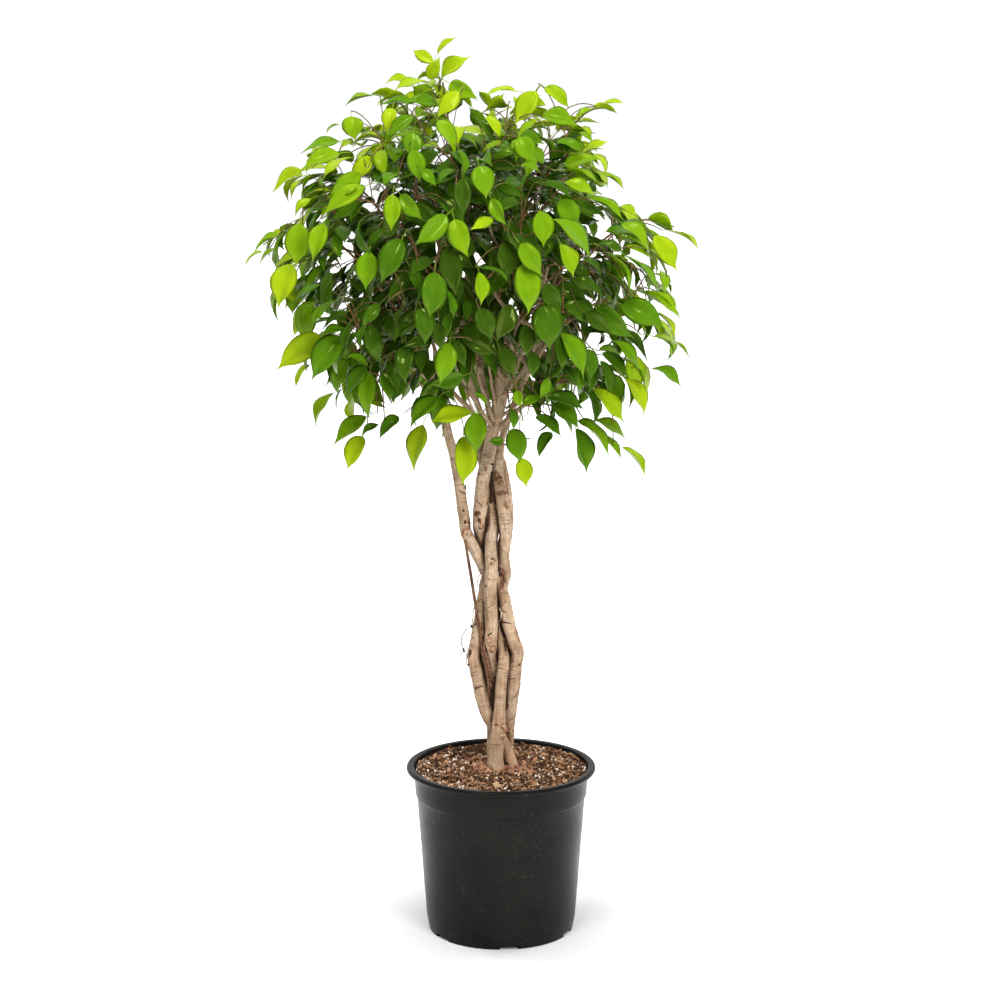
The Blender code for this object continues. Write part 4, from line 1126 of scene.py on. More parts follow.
# Older roots between the stems, as (radius, tone, depth, points across and up).
BETWEEN = (
    (3.6, 0.30, 4, (-21, 392), (-25, 365), (-24, 345), (-16, 315), (-10, 288)),
    (2.6, 0.42, -4, (-23, 386), (-21, 362), (-16, 336), (-11, 310)),
    (3.2, 0.12, 3, (4, 402), (7, 380), (9, 355), (8, 325), (6, 290)),
    (2.4, 0.10, 2, (-14, 515), (-18, 495), (-17, 470)),
    (2.4, 0.12, 6, (12, 386), (11, 373), (11, 362), (12, 348)),
)
WRINKLES = 120
FOOT_ROOTS = 13
FIBRES = 110


def add_root(edit, points, radius, tone):
    """A thin root through points in metres, with its tone on every vertex."""
    old = len(edit.verts)
    line = smooth_line([(*point, radius) for point in points], 0.0022)
    line[:, 3] *= np.interp(np.arange(len(line)), (0, 2, max(len(line) - 4, 3), len(line)), (0.6, 1, 1, 0.35))
    wrap(edit, line, 6)
    edit.verts.ensure_lookup_table()
    layer = edit.verts.layers.float["tone"]
    for vert in edit.verts[old:]:
        vert[layer] = tone


def clinging_points(marks):
    """Points just off the bark along a chain of marks."""
    points = []
    for (x, z), (next_x, next_z) in zip(marks, marks[1:]):
        for t in (0.0, 0.33, 0.67):
            place, normal = on_bark(x + (next_x - x) * t, z + (next_z - z) * t)
            points.append(place + normal * 0.0002)
    return points


def wrinkle(edit):
    """A thin fold that runs part of the way round a stem at a random place, dark as painted shade for its crease."""
    line = LINES[random.choice(list(SECTORS))]
    ring = random.choice([i for i in range(2, len(line) - 2) if 0.23 < line[i, 2] < 0.64])
    across, beside = frames_along(line)[ring]
    start, span, slant = random.uniform(0, math.tau), random.uniform(0.7, 2.0), random.gauss(0, 0.0016)
    points = []
    for step in range(7):
        angle = start + span * step / 6
        near = Vector(line[ring, :3]) + (across * math.cos(angle) + beside * math.sin(angle)) * line[ring, 3]
        place, normal, _, _ = BARK_TREE.find_nearest(near + UP * slant * (step - 3))
        points.append(place + normal * 0.00005)
    add_root(edit, points, random.uniform(0.00028, 0.00048), random.uniform(0.25, 0.55))


edit = bmesh.new()
edit.verts.layers.float.new("tone")
for _ in range(WRINKLES):
    wrinkle(edit)
for radius, tone, *marks in CLINGING:
    add_root(edit, clinging_points(marks), radius / 1000, tone)
for radius, tone, *marks in HANGING:
    add_root(edit, [Vector((x / 1000, HANGING_DEPTH, z / 1000)) for x, z in marks], radius / 620, tone - 0.15)
for radius, tone, depth, *marks in BETWEEN:
    add_root(edit, [Vector((x / 1000, depth / 1000, z / 1000)) for x, z in marks], radius / 1000, tone)
for index in range(FOOT_ROOTS):
    turn = math.radians(index * 27.7 + random.uniform(-8, 8))
    away = Vector((math.cos(turn), math.sin(turn), 0.0))
    heights, shares = (0.011, 0.004, 0.001, -0.003), (0.013, 0.019, 0.027, random.uniform(0.034, 0.050))
    points = [away * share + Vector((-0.001, 0.0, MIX_LEVEL + height)) for share, height in zip(shares, heights)]
    add_root(edit, points, random.uniform(0.0008, 0.0024), random.uniform(0.25, 0.75))
for _ in range(FIBRES):
    x, y = spot_on_bed(0.93)
    ahead = Vector((random.gauss(0, 1), random.gauss(0, 1), 0.0)).normalized() * random.uniform(0.004, 0.009)
    points = []
    for step in range(4):
        x, y = x + ahead.x, y + ahead.y
        if math.hypot(x, y) < MIX_RADIUS - 0.003:
            points.append(Vector((x, y, bed_height(x, y) + random.uniform(0.0015, 0.0048))))
        ahead = Matrix.Rotation(random.gauss(0, 0.6), 3, "Z") @ ahead
    if len(points) == 4:
        add_root(edit, points, random.uniform(0.0003, 0.0009), random.uniform(0.20, 0.85))
make_piece(edit, "thin_roots", SCAR_BARK, "root_bark")

# %% [markdown]
# ## Limbs and shoots
# Above the fork each stem feeds its own part of the crown. The limbs to the CAD shoots come first. Then more
# shoots are grown to points spread through the crown's outer half: each one starts from the nearest wood that lies
# further in, as a real one does, leaves it outward, and arches over.
# %% The crown's form
CROWN_CENTRE = Vector((-0.037, 0.0, 0.854))
# How far the leaves reach from the centre: in depth, and at even headings seen from the front, from +X by the top.
CROWN_MEAN = 0.256
CROWN_REACH = (
    0.262, 0.205, 0.218, 0.225, 0.222, 0.240, 0.235, 0.248,
    0.262, 0.246, 0.258, 0.250, 0.235, 0.250, 0.283, 0.275,
)
# How much nearer to the centre than its leaves a shoot ends.
TIP_INSET = 0.030
GOLDEN_ANGLE = math.pi * (3 - math.sqrt(5))
# The ends of main shoots that leave the crown's even form.
STRAY_TIPS = (
    (-0.078, -0.03, 1.100), (0.125, -0.02, 1.045), (0.222, -0.03, 0.895), (0.205, 0.03, 0.760),
    (0.160, -0.04, 0.640), (-0.290, -0.02, 0.880), (-0.180, -0.06, 0.650), (-0.070, -0.12, 0.660),
    (0.030, -0.10, 0.655),
)


def reach(direction):
    """How far the crown's leaves go from its centre in a direction."""
    turn = math.atan2(direction.z, direction.x) / math.tau * len(CROWN_REACH) % len(CROWN_REACH)
    around = (*CROWN_REACH, CROWN_REACH[0])
    outline = float(np.interp(turn, range(len(around)), around))
    return CROWN_MEAN + (outline - CROWN_MEAN) * math.hypot(direction.x, direction.z)


def spiral_tips(count, share, start, top=0.96, depth=1.84):
    """Points spread evenly over the crown at a share of its reach."""
    tips = []
    for index in range(count):
        height = top - depth * (index + 0.5) / count
        turn = index * GOLDEN_ANGLE + start
        flat = math.sqrt(1 - height**2)
        direction = Vector((flat * math.cos(turn), flat * math.sin(turn), height))
        tips.append(CROWN_CENTRE + direction * (reach(direction) * share - TIP_INSET) + UP * 0.015)
    return tips


MAIN_TIPS = spiral_tips(32, 1.0, 0.4) + [Vector(tip) for tip in STRAY_TIPS]
print("main shoots:", len(MAIN_TIPS))

# %% [markdown]
# ### Growing the wood
# A main shoot sits on its own limb, which leaves the stem that feeds that part of the crown and bends into the
# shoot's heading. A side shoot starts from the wood that costs least to reach, where wood that lies further out or
# is very near costs more. The layers of side shoots are grown from the inside outward.
# %% Grow the wood
SHOOT_LENGTH = 0.120
SHOOT_LIFT = 0.055
# The radii of a main shoot at its seat and at its tip, and the greatest radius of its limb.
SHOOT_BASE = 0.0017
SHOOT_TIP = 0.0008
LIMB_RADIUS = 0.0042


def nearest_stem(point):
    """The stem whose part of the crown is nearest to a point."""
    heading = math.degrees(math.atan2(point.y, point.x + 0.02))
    return min(SECTORS, key=lambda name: abs((heading - SECTORS[name] + 180) % 360 - 180))


def arched(start, tip, lift, first, last, steps):
    """A shoot from start to tip that arches by a lift, with radii from first to last."""
    line = []
    for index in range(steps + 1):
        t = index / steps
        where = start.lerp(tip, t) + UP * lift * 2.2 * t * (1 - t)
        line.append((*where, first * (1 - t) + last * t))
    return line


def main_limb(tip):
    """A limb from inside its stem to the seat of a main shoot, as in the CAD model, and the shoot itself."""
    owner = nearest_stem(tip)
    out = (tip - CROWN_CENTRE).normalized()
    seat = tip - out * SHOOT_LENGTH - UP * 0.014
    shoot = arched(seat, tip, SHOOT_LIFT, SHOOT_BASE, SHOOT_TIP, 10)
    heading = (Vector(shoot[1][:3]) - seat).normalized()
    height = min(max(seat.z - 0.75 * (seat.xy - Vector((-0.02, 0.0))).length, 0.64), LINES[owner][-1, 2] - 0.012)
    start = LINES[owner][np.abs(LINES[owner][:, 2] - height).argmin()]
    root = Vector(start[:3])
    bend = seat - heading * 0.45 * (seat - root).length
    limb = []
    for index in range(11):
        t = index / 10
        where = root * (1 - t) ** 2 + bend * 2 * t * (1 - t) + seat * t * t
        left = (1 - t) ** 1.3
        limb.append((*where, min(0.7 * start[3], LIMB_RADIUS) * left + SHOOT_BASE * (1 - left)))
    return owner, limb, shoot


WOOD = []
for number, tip in enumerate(MAIN_TIPS, 1):
    owner, limb, shoot = main_limb(tip)
    WOOD.append({"stem": owner, "limb": limb, "shoot": shoot, "node": f"leafy_shoot_{number:02d}", "leafy": True})


def all_points():
    """Every point of the wood grown so far, with the number of the stem that feeds it."""
    rows = []
    for number, name in enumerate(SECTORS):
        rows += [(*row, number) for row in LINES[name] if row[2] > 0.68]
        for one in WOOD:
            if one["stem"] == name:
                rows += [(*row, number) for row in [*one["limb"], *one["shoot"][:-2]]]
    return np.array(rows)


def side_shoot(tip, wood, leafy=True):
    """A shoot to a tip from the nearest wood that lies further in."""
    out = (tip - CROWN_CENTRE).normalized()
    arms = np.array(tip) - wood[:, :3]
    length = np.linalg.norm(arms, axis=1)
    outward = arms @ np.array(out) / np.maximum(length, 1e-6)
    cost = length + np.where(outward < 0.35, 0.2, 0.0) + np.where(length < 0.055, 0.3, 0.0)
    best = wood[cost.argmin()]
    start = Vector(best[:3])
    span = (tip - start).length
    radius = min(best[3] * 0.8, 0.0016)
    line = arched(start, tip, 0.30 * span, radius, 0.0007, max(6, round(span / 0.012)))
    return {"stem": list(SECTORS)[int(best[4])], "limb": [], "shoot": line, "node": None, "leafy": leafy}


def jittered(tips, spread):
    """The tips, each moved a little by chance."""
    return [tip + Vector([random.gauss(0, spread) for _ in range(3)]) for tip in tips]


# Layers of side shoots, as (count, share of the crown's reach, heading of the first in radians).
LAYERS = ((24, 0.40, 1.3), (54, 0.64, 2.1), (60, 0.82, 0.2), (140, 0.98, 0.9))
# Short shoots that fill the crown's hollow behind the fork.
FORK_TIPS = (
    (-0.075, 0.060, 0.718), (-0.045, 0.090, 0.706), (-0.012, 0.070, 0.728), (0.015, 0.095, 0.706),
    (0.045, 0.060, 0.722), (0.072, 0.080, 0.702), (-0.100, 0.070, 0.700), (-0.030, 0.120, 0.690),
    (0.032, 0.125, 0.688), (0.002, 0.055, 0.748), (-0.130, 0.060, 0.716), (0.105, 0.060, 0.712),
)


def thinned(tip):
    """The share of the outer shoots that grow at a tip: the crown is more open on the side where x is large."""
    if tip.x < 0.10:
        return 1.0
    return 0.46 if tip.z > 0.80 else 0.85


for count, share, start in LAYERS:
    wood = all_points()
    for tip in jittered(spiral_tips(count, share, start, 0.98, 1.80), 0.008):
        if share < 0.8 or random.random() < thinned(tip):
            WOOD.append(side_shoot(tip, wood))
wood = all_points()
for tip in FORK_TIPS:
    WOOD.append(side_shoot(Vector(tip), wood))
print("shoots:", len(WOOD))

# %% [markdown]
# ## Leaves
# A weeping fig's leaf is a pointed oval with a long drip tip, on a thin stalk. It is folded a little along its
# midrib, and its edge waves. A few leaves are shaped from a grid, given an underside, and kept as patterns. Each
# leaf on the plant is a copy, so it has only a few dozen faces. A number on it, its tone, says partly how young it
# is: old leaves are deep green and glossy, and young ones bright yellow-green. The rest of the tone is painted light
# and shade: leaves near the crown's outline seen from the front, at its top and at its skirt are painted paler, and
# leaves deep inside it are painted darker.
# %% Leaf patterns
# The half width of a blade at shares of its length. The last fifth is the drip tip.
OUTLINE = (
    (0.0, 0.012), (0.04, 0.090), (0.10, 0.160), (0.20, 0.228), (0.32, 0.270), (0.43, 0.282), (0.54, 0.262),
    (0.65, 0.205), (0.74, 0.136), (0.81, 0.076), (0.87, 0.038), (0.93, 0.018), (1.0, 0.004),
)
# Where the grid's rows lie along a grown leaf and along a listed one, and the stalk's line behind the blade.
ROWS = (0.0, 0.05, 0.16, 0.32, 0.50, 0.66, 0.79, 0.89, 1.0)
FINE_ROWS = (0.0, 0.02, 0.06, 0.12, 0.20, 0.30, 0.40, 0.49, 0.58, 0.66, 0.73, 0.79, 0.85, 0.92, 1.0)
STALK = ((0.0, -0.24, -0.13), (0.0, -0.16, -0.055), (0.0, -0.07, -0.012), (0.0, 0.01, 0.0))
STALK_RADIUS = 0.0105


def midrib_curve(rows, bend, level):
    """Where each row of a bent leaf lies, as (along, height, slope), from base to tip."""
    slope = bend * np.array(rows) ** 1.3 - (0.55 * bend if level else 0.0)
    step = np.diff(rows)
    middle = (slope[1:] + slope[:-1]) / 2
    along = np.append(0, np.cumsum(step * np.cos(middle)))
    height = np.append(0, -np.cumsum(step * np.sin(middle)))
    return list(zip(along, height, slope))


def leaf_pattern(fold, bend, wave, twist, across=4, rows=ROWS, level=False):
    """A leaf one unit long: its blade runs from the origin along +Y with its upper face to +Z."""
    edit = bmesh.new()
    grid = bmesh.ops.create_grid(edit, x_segments=across, y_segments=len(rows) - 1, size=0.5, calc_uvs=True)["verts"]
    midrib = midrib_curve(rows, bend, level)
    phase = random.uniform(0, math.tau)
    for vert in grid:
        side = 2 * vert.co.x
        row = round((vert.co.y + 0.5) * (len(rows) - 1))
        t = rows[row]
        along, height, slope = midrib[row]
        half = 0.95 * float(np.interp(t, *zip(*OUTLINE))) * (1 + 0.08 * side * math.sin(phase + 2.5 * t))
        ripple = side * side * math.sin(6.5 * t + phase + 1.2 * side) * wave
        lift = half * (fold * abs(side) * (1 - 0.42 * abs(side)) + ripple)
        swing = twist * (math.sin(3.0 * t) + 6.0 * max(t - 0.75, 0.0))
        vert.co = (half * side + swing, along + lift * math.sin(slope), height + lift * math.cos(slope))
    turned = bmesh.ops.duplicate(edit, geom=edit.verts[:] + edit.edges[:] + edit.faces[:])["geom"]
    lower = [item for item in turned if isinstance(item, bmesh.types.BMFace)]
    for vert in [item for item in turned if isinstance(item, bmesh.types.BMVert)]:
        if not vert.is_boundary:
            vert.co.z -= 0.006
    bmesh.ops.reverse_faces(edit, faces=lower)
    uv = edit.loops.layers.uv.verify()
    for face in lower:
        for loop in face.loops:
            loop[uv].uv.x += 1.0
    bmesh.ops.remove_doubles(edit, verts=edit.verts, dist=1e-5)
    for edge in edit.edges:
        sides = [sum(loop[uv].uv.x for loop in face.loops) / len(face.loops) > 1 for face in edge.link_faces]
        edge.smooth = sides[0] == sides[-1]
    blade = set(edit.faces)
    wrap(edit, [(*point, STALK_RADIUS) for point in STALK], 3, closed=False)
    for face in set(edit.faces) - blade:
        for loop in face.loops:
            loop[uv].uv = (0.5, 0.02)
    mesh = bpy.data.meshes.new("leaf")
    edit.to_mesh(mesh)
    edit.free()
    mesh.attributes.new("tone", "FLOAT", "POINT")
    return mesh


def patterns(count, flattest, most, folds=(0.20, 0.80), **finer):
    """Leaf patterns that are bent along the midrib between two angles in radians, each a little different."""
    made = []
    for index in range(count):
        bend = flattest + (most - flattest) * index / (count - 1)
        fold, wave = random.uniform(*folds), random.uniform(0.08, 0.28)
        made.append(leaf_pattern(fold, bend, wave, random.uniform(-0.04, 0.04), **finer))
    return made


PATTERNS = patterns(14, 0.15, 1.6)
FINE_PATTERNS = patterns(10, 0.25, 1.2, (0.30, 0.95), across=6, rows=FINE_ROWS, level=True)
print("faces in a leaf:", len(PATTERNS[0].polygons), "and in a finer one:", len(FINE_PATTERNS[0].polygons))

# %% [markdown]
# ### Hanging a leaf
# A leaf hangs from its twig by the end of its stalk. It points along the twig, outward and down, to the left and to
# the right by turns, and its upper face looks up and outward to the light.
# %% Hang the leaves
LEAF_SPACING = 0.0140
LEAF_JITTER = 0.004
TWIG_STEP = 0.004


def leaf_place(root, pointing, facing, length):
    """The matrix that hangs a pattern from a point on a twig, by the far end of its stalk."""
    along = pointing.normalized()
    normal = (facing - along * facing.dot(along)).normalized()
    across = along.cross(normal)
    turn = Matrix((across, along, normal)).transposed().to_4x4() @ Matrix.Scale(length, 4)
    return Matrix.Translation(root - turn.to_3x3() @ Vector(STALK[0])) @ turn


def leaf_heading(point, along, turn):
    """The way that a leaf points and the way that its upper face looks, on a given side of its twig."""
    out = (point - CROWN_CENTRE).normalized()
    level = max(-0.2, out.z)
    beside = along.cross(UP).normalized() * turn
    droop = random.uniform(0.15, 0.95) * (1.0 - 0.6 * max(level, 0.0) ** 1.2)
    level_out = Vector((out.x, out.y, 0.0))
    pointing = along * 0.60 + beside * random.uniform(0.15, 0.62) + level_out * 0.22 - UP * droop
    facing = level_out * 0.50 + UP * random.uniform(0.55, 1.0) + beside * random.gauss(0, 0.32)
    return pointing, facing + Vector([random.gauss(0, 0.22) for _ in range(3)])


# Painted light: leaves at the crown's top and its skirt are painted paler for the light they get, as (height, added
# tone).
PAINTED_LIGHT_BY_HEIGHT = ((0.70, 0.12), (0.80, 0.04), (0.88, 0.0), (0.94, 0.04), (1.00, 0.14), (1.06, 0.22))


def rim_share(point):
    """Nearness to the crown's outline seen from the front, 0 well inside and 1 on it, which sets painted light."""
    aside = Vector((point.x - CROWN_CENTRE.x, 0.0, point.z - CROWN_CENTRE.z))
    return min(max(aside.length / reach(aside.normalized()) - 0.50, 0.0) / 0.42, 1.0)


def leaves_of(one):
    """The leaves of one shoot: (place, tone) for each."""
    line = smooth_line(one["shoot"], TWIG_STEP)
    total = len(line) * TWIG_STEP
    rim = rim_share(Vector(one["shoot"][-1][:3]))
    # Young, paler shoots are likelier near the outline seen from the front, which paints light there as well.
    young = random.random() < 0.22 + 0.50 * rim
    count = max(4, int(min(total * 0.9, 0.125) / LEAF_SPACING))
    placed = []
    for index in range(count):
        back = index * LEAF_SPACING + random.uniform(0.0, LEAF_JITTER)
        at = max(len(line) - 2 - round(back / TWIG_STEP), 1)
        point = Vector(line[at, :3])
        along = Vector(line[at + 1, :3] - line[at - 1, :3]).normalized()
        pointing, facing = leaf_heading(point, along, (1, -1)[index % 2])
        outside = (point - CROWN_CENTRE).length / CROWN_MEAN
        # The tone is partly the leaf's age at random and partly painted light and shade: darker deep in the crown,
        # paler near its outline seen from the front.
        tone = 0.12 + 0.12 * random.gauss(0, 1) + 0.6 * max(outside - 0.68, -0.1) + 0.60 * rim_share(point)
        if young and index < 3 + 3 * rim:
            tone += 0.32 - 0.05 * index
        tone += float(np.interp(point.z, *zip(*PAINTED_LIGHT_BY_HEIGHT)))
        size = random.uniform(0.036, 0.056) * (0.86 if index == 0 else 1.0) * (0.84 if point.z > 0.98 else 1.0)
        place = leaf_place(point, pointing, facing, size) @ Matrix.Diagonal((random.uniform(0.8, 1.1), 1, 1, 1))
        placed.append((place, min(max(tone, 0.0), 1.0)))
    return placed


print("leaves are hung by their stalks")

# %% [markdown]
# ### Leaves placed one by one
# The eye remembers the large leaves on the front of the crown, so those are set one by one, from the top down. Each
# row says where a leaf's blade starts, across and up from the crown's centre in millimetres, how many degrees it is
# turned from hanging straight down, with plus to the right, and its length in millimetres. The last two are its
# width, as a share of a common leaf's, and its tone. A narrow one is a leaf of common width that is rolled about
# its midrib. Each is brought forward to the crown's front, and a twig is grown to it.
# %% Leaves set one by one
# Each tone stands for the leaf's age and also for painted light and shade: darker in the crown's middle, paler near its
# outline.
FRONT_LEAVES = (
    (-40, 255, 130, 30, 0.60, 1.00), (-50, 225, 155, 30, 1.00, 0.85), (-35, 225, 120, 45, 0.55, 0.75),
    (-25, 220, 65, 40, 1.00, 0.55), (-15, 210, -40, 40, 1.00, 0.90), (-75, 225, -75, 30, 0.60, 0.70),
    (-50, 220, -70, 45, 0.40, 0.70), (-70, 195, -85, 40, 0.60, 0.35), (-40, 195, -90, 40, 0.60, 0.35),
    (-95, 190, -10, 30, 1.20, 0.85), (-70, 180, -50, 40, 0.75, 0.45), (-120, 205, -65, 35, 0.35, 0.60),
    (-145, 180, 5, 30, 1.60, 0.60), (-160, 170, -45, 20, 0.40, 0.50), (-160, 150, -70, 50, 0.40, 0.45),
    (-160, 135, -65, 50, 0.65, 0.60), (-145, 130, -45, 45, 0.50, 0.90), (-205, 115, -50, 45, 0.50, 0.75),
    (-205, 105, -25, 30, 0.60, 0.92), (-135, 110, -55, 50, 0.90, 0.66), (-130, 95, -55, 60, 0.75, 0.80),
    (-195, 80, -40, 30, 0.75, 0.72), (-95, 85, -5, 45, 0.90, 0.92), (-85, 85, 45, 42, 0.90, 0.75),
    (-70, 140, 10, 40, 1.05, 0.70), (-70, 160, -10, 30, 1.60, 0.55), (-60, 115, 40, 28, 0.70, 0.70),
    (-10, 105, 5, 45, 0.90, 0.22), (-30, 60, -50, 52, 0.95, 0.76), (-20, 55, 20, 50, 1.05, 0.90),
    (-210, 50, -5, 52, 1.15, 0.66), (-180, 50, -15, 48, 0.90, 0.74), (-235, 35, -50, 38, 0.45, 0.55),
    (-255, 15, -40, 30, 0.60, 0.90), (-240, 20, -40, 32, 0.60, 0.65), (-15, 140, 5, 33, 0.55, 0.60),
    (-40, 175, 20, 48, 0.50, 0.75), (80, 210, -30, 47, 1.00, 0.74), (90, 215, 45, 38, 0.85, 0.68),
    (55, 210, -75, 38, 0.45, 0.80), (160, 195, 90, 27, 0.60, 1.00), (145, 190, -45, 20, 0.40, 0.60),
    (85, 180, 70, 47, 0.65, 0.50), (130, 160, 45, 25, 0.50, 0.45), (135, 135, 110, 36, 0.50, 0.98),
    (105, 150, 60, 34, 0.60, 0.40), (115, 120, 95, 45, 0.60, 0.60), (115, 115, 65, 48, 0.40, 0.65),
    (160, 110, 50, 32, 0.45, 0.60), (115, 100, 60, 42, 0.50, 0.75), (90, 100, 60, 38, 0.45, 0.25),
    (145, 80, 55, 48, 0.55, 0.55), (180, 70, 55, 28, 0.60, 0.70), (185, 50, 40, 48, 0.85, 0.60),
    (225, 35, 30, 50, 1.00, 0.72), (245, 40, 50, 43, 0.40, 0.88), (165, 40, 65, 48, 0.50, 0.30),
    (155, 25, 70, 36, 0.60, 0.20), (110, 80, 20, 42, 1.20, 0.62), (100, 55, 35, 72, 0.55, 0.78),
    (85, 65, 5, 43, 1.20, 0.85), (60, 25, 35, 48, 0.95, 0.82), (110, 25, 15, 45, 0.85, 0.95),
    (65, 0, 5, 64, 0.95, 0.84), (45, 30, -5, 50, 1.15, 0.12), (25, 80, 30, 38, 0.90, 0.78),
    (10, 120, 10, 42, 1.30, 0.80), (10, -10, 5, 40, 0.85, 0.94), (15, -5, 55, 36, 0.40, 0.55),
    (60, 155, 25, 35, 1.40, 0.66), (80, 175, -45, 33, 0.50, 0.72), (20, 180, 30, 30, 0.80, 0.85),
    (10, 175, 30, 30, 0.70, 0.30), (60, 120, 65, 28, 0.50, 0.65), (190, 10, 40, 60, 0.30, 0.50),
    (165, 15, 25, 60, 0.35, 0.72), (125, -20, 55, 45, 0.70, 0.12), (210, -35, 55, 58, 0.40, 0.60),
    (-45, -10, -10, 57, 1.05, 0.58), (-85, 30, -25, 60, 0.98, 0.48), (-125, 15, -5, 46, 1.20, 0.80),
    (-220, 0, -15, 56, 1.10, 0.90), (-185, -90, -55, 68, 0.90, 0.74), (-160, -90, -30, 66, 0.98, 0.34),
    (-185, -25, -50, 50, 0.35, 0.30), (-195, -50, -30, 23, 0.60, 0.55), (-165, -45, -35, 49, 0.65, 0.50),
    (-155, -60, -50, 35, 0.45, 0.20), (-155, -80, -70, 33, 0.50, 0.50), (-200, -125, -25, 34, 0.70, 0.82),
    (-150, -75, -10, 35, 0.80, 0.15), (-130, -75, -5, 32, 0.65, 0.38), (-138, -85, -25, 28, 0.70, 0.28),
    (-130, -125, -105, 30, 0.60, 0.50), (-130, -125, -30, 48, 0.80, 0.26), (-125, -135, -5, 53, 0.90, 0.52),
    (-110, -135, 10, 39, 0.75, 0.28), (-105, -125, 25, 36, 0.60, 0.10), (-170, -160, -25, 50, 0.55, 0.64),
    (-160, -155, -5, 28, 0.45, 0.20), (-130, -190, -48, 54, 0.70, 0.52), (-115, -200, -50, 28, 0.50, 0.25),
    (-90, -190, -40, 37, 0.75, 0.18), (-135, -215, -20, 47, 0.95, 0.90), (-60, -200, -10, 60, 0.70, 0.80),
    (-40, -165, -40, 54, 0.85, 0.46), (0, -185, -70, 54, 0.70, 0.82), (5, -185, 5, 50, 1.05, 0.46),
    (-10, -215, -5, 60, 0.92, 0.92), (-27, -98, -14, 53, 0.95, 0.78), (-10, -138, -74, 43, 0.95, 0.40),
    (-50, -97, -75, 36, 0.70, 0.20), (-40, -75, 5, 33, 1.00, 0.12), (-25, -60, 0, 32, 0.80, 0.48),
    (-30, -32, 10, 36, 0.70, 0.54), (-20, -95, 20, 36, 0.90, 0.24), (-75, -5, 5, 45, 0.55, 0.48),
    (-85, -55, -5, 30, 0.60, 0.08), (-76, -72, -40, 30, 0.80, 0.34), (-113, -50, -40, 35, 0.90, 0.34),
    (-170, -10, -20, 36, 0.70, 0.10), (10, -55, 22, 42, 1.15, 0.22), (50, -50, -26, 50, 0.95, 0.08),
    (0, -95, 65, 36, 0.90, 0.10), (67, -75, 0, 40, 1.00, 0.08), (35, -103, 25, 42, 1.00, 0.10),
    (90, -50, 5, 58, 1.25, 0.42), (90, -25, 35, 40, 1.10, 0.26), (105, -90, 5, 42, 0.85, 0.28),
    (110, -85, 20, 66, 0.72, 0.68), (145, -105, 5, 38, 0.90, 0.34), (160, -120, 10, 42, 0.80, 0.14),
    (155, -55, 50, 58, 0.95, 0.36), (185, -50, 60, 64, 0.80, 0.38), (210, -35, 55, 60, 0.35, 0.62),
    (228, -60, 30, 40, 0.40, 0.72), (225, -90, 50, 56, 0.30, 0.66), (141, -60, 55, 40, 0.90, 0.12),
    (141, -83, 80, 28, 0.80, 0.20), (175, -95, 32, 52, 0.45, 0.50), (162, -110, 45, 43, 0.70, 0.28),
    (178, -80, 40, 58, 0.30, 0.15), (223, -130, 50, 46, 0.30, 0.40), (191, -143, 20, 54, 0.75, 0.82),
    (152, -155, 38, 55, 0.78, 0.74), (95, -165, 65, 47, 0.55, 0.18), (104, -172, 38, 45, 0.85, 0.30),
    (130, -205, 14, 57, 0.80, 0.28), (132, -195, 36, 58, 0.45, 0.55), (152, -195, 50, 50, 0.40, 0.55),
    (160, -214, 42, 40, 0.50, 0.55), (188, -229, 35, 46, 0.50, 0.70), (100, -210, -25, 36, 0.55, 0.20),
    (52, -205, 12, 46, 1.05, 0.34), (62, -242, 8, 37, 1.10, 0.98), (40, -220, -90, 20, 1.00, 0.20),
    (90, -165, -60, 33, 0.60, 0.55), (57, -157, 15, 21, 1.20, 0.68), (95, -142, -25, 26, 1.00, 0.55),
    (49, -180, 0, 28, 0.65, 0.30), (4, -160, 45, 22, 0.60, 0.55), (80, -190, 50, 40, 0.70, 0.25),
    (73, -107, 0, 35, 0.90, 0.28), (112, -128, 33, 32, 0.60, 0.30), (-30, 20, 10, 60, 0.90, 0.04),
)
# How far forward the crown's front lies at its middle, and how much painted light its outline adds as tone, about a
# middle share below which it paints shade.
FRONT_DEPTH = 0.215
RIM_PAINTED_LIGHT = 0.34
RIM_LIGHT_MIDDLE = 0.38
# Two leaves that overlap are set this far apart in depth.
LEAF_ROOM = 0.008


def in_sight(x, z, y):
    """The point at depth y that hides the point (x, 0, z) from the camera."""
    eye, mark = Vector(CAMERA_PLACE), Vector((x, 0.0, z))
    return eye.lerp(mark, (y - eye.y) / (mark.y - eye.y))


def seen_at(point):
    """Where the line of sight to a point crosses the plane of the trunk: its x and z there."""
    eye = Vector(CAMERA_PLACE)
    crossing = eye.lerp(point, -eye.y / (point.y - eye.y))
    return crossing.x, crossing.z


def front_depth(x, z):
    """How far in front of the trunk's axis the crown's front lies."""
    aside = Vector((x, 0.0, z)) - CROWN_CENTRE
    share = min(aside.length / reach(aside.normalized()), 1.0)
    over_trunk = 0.075 if abs(x) < 0.07 and z < 0.70 else 0.02
    return -max(FRONT_DEPTH * math.sqrt(1 - share**2), over_trunk)


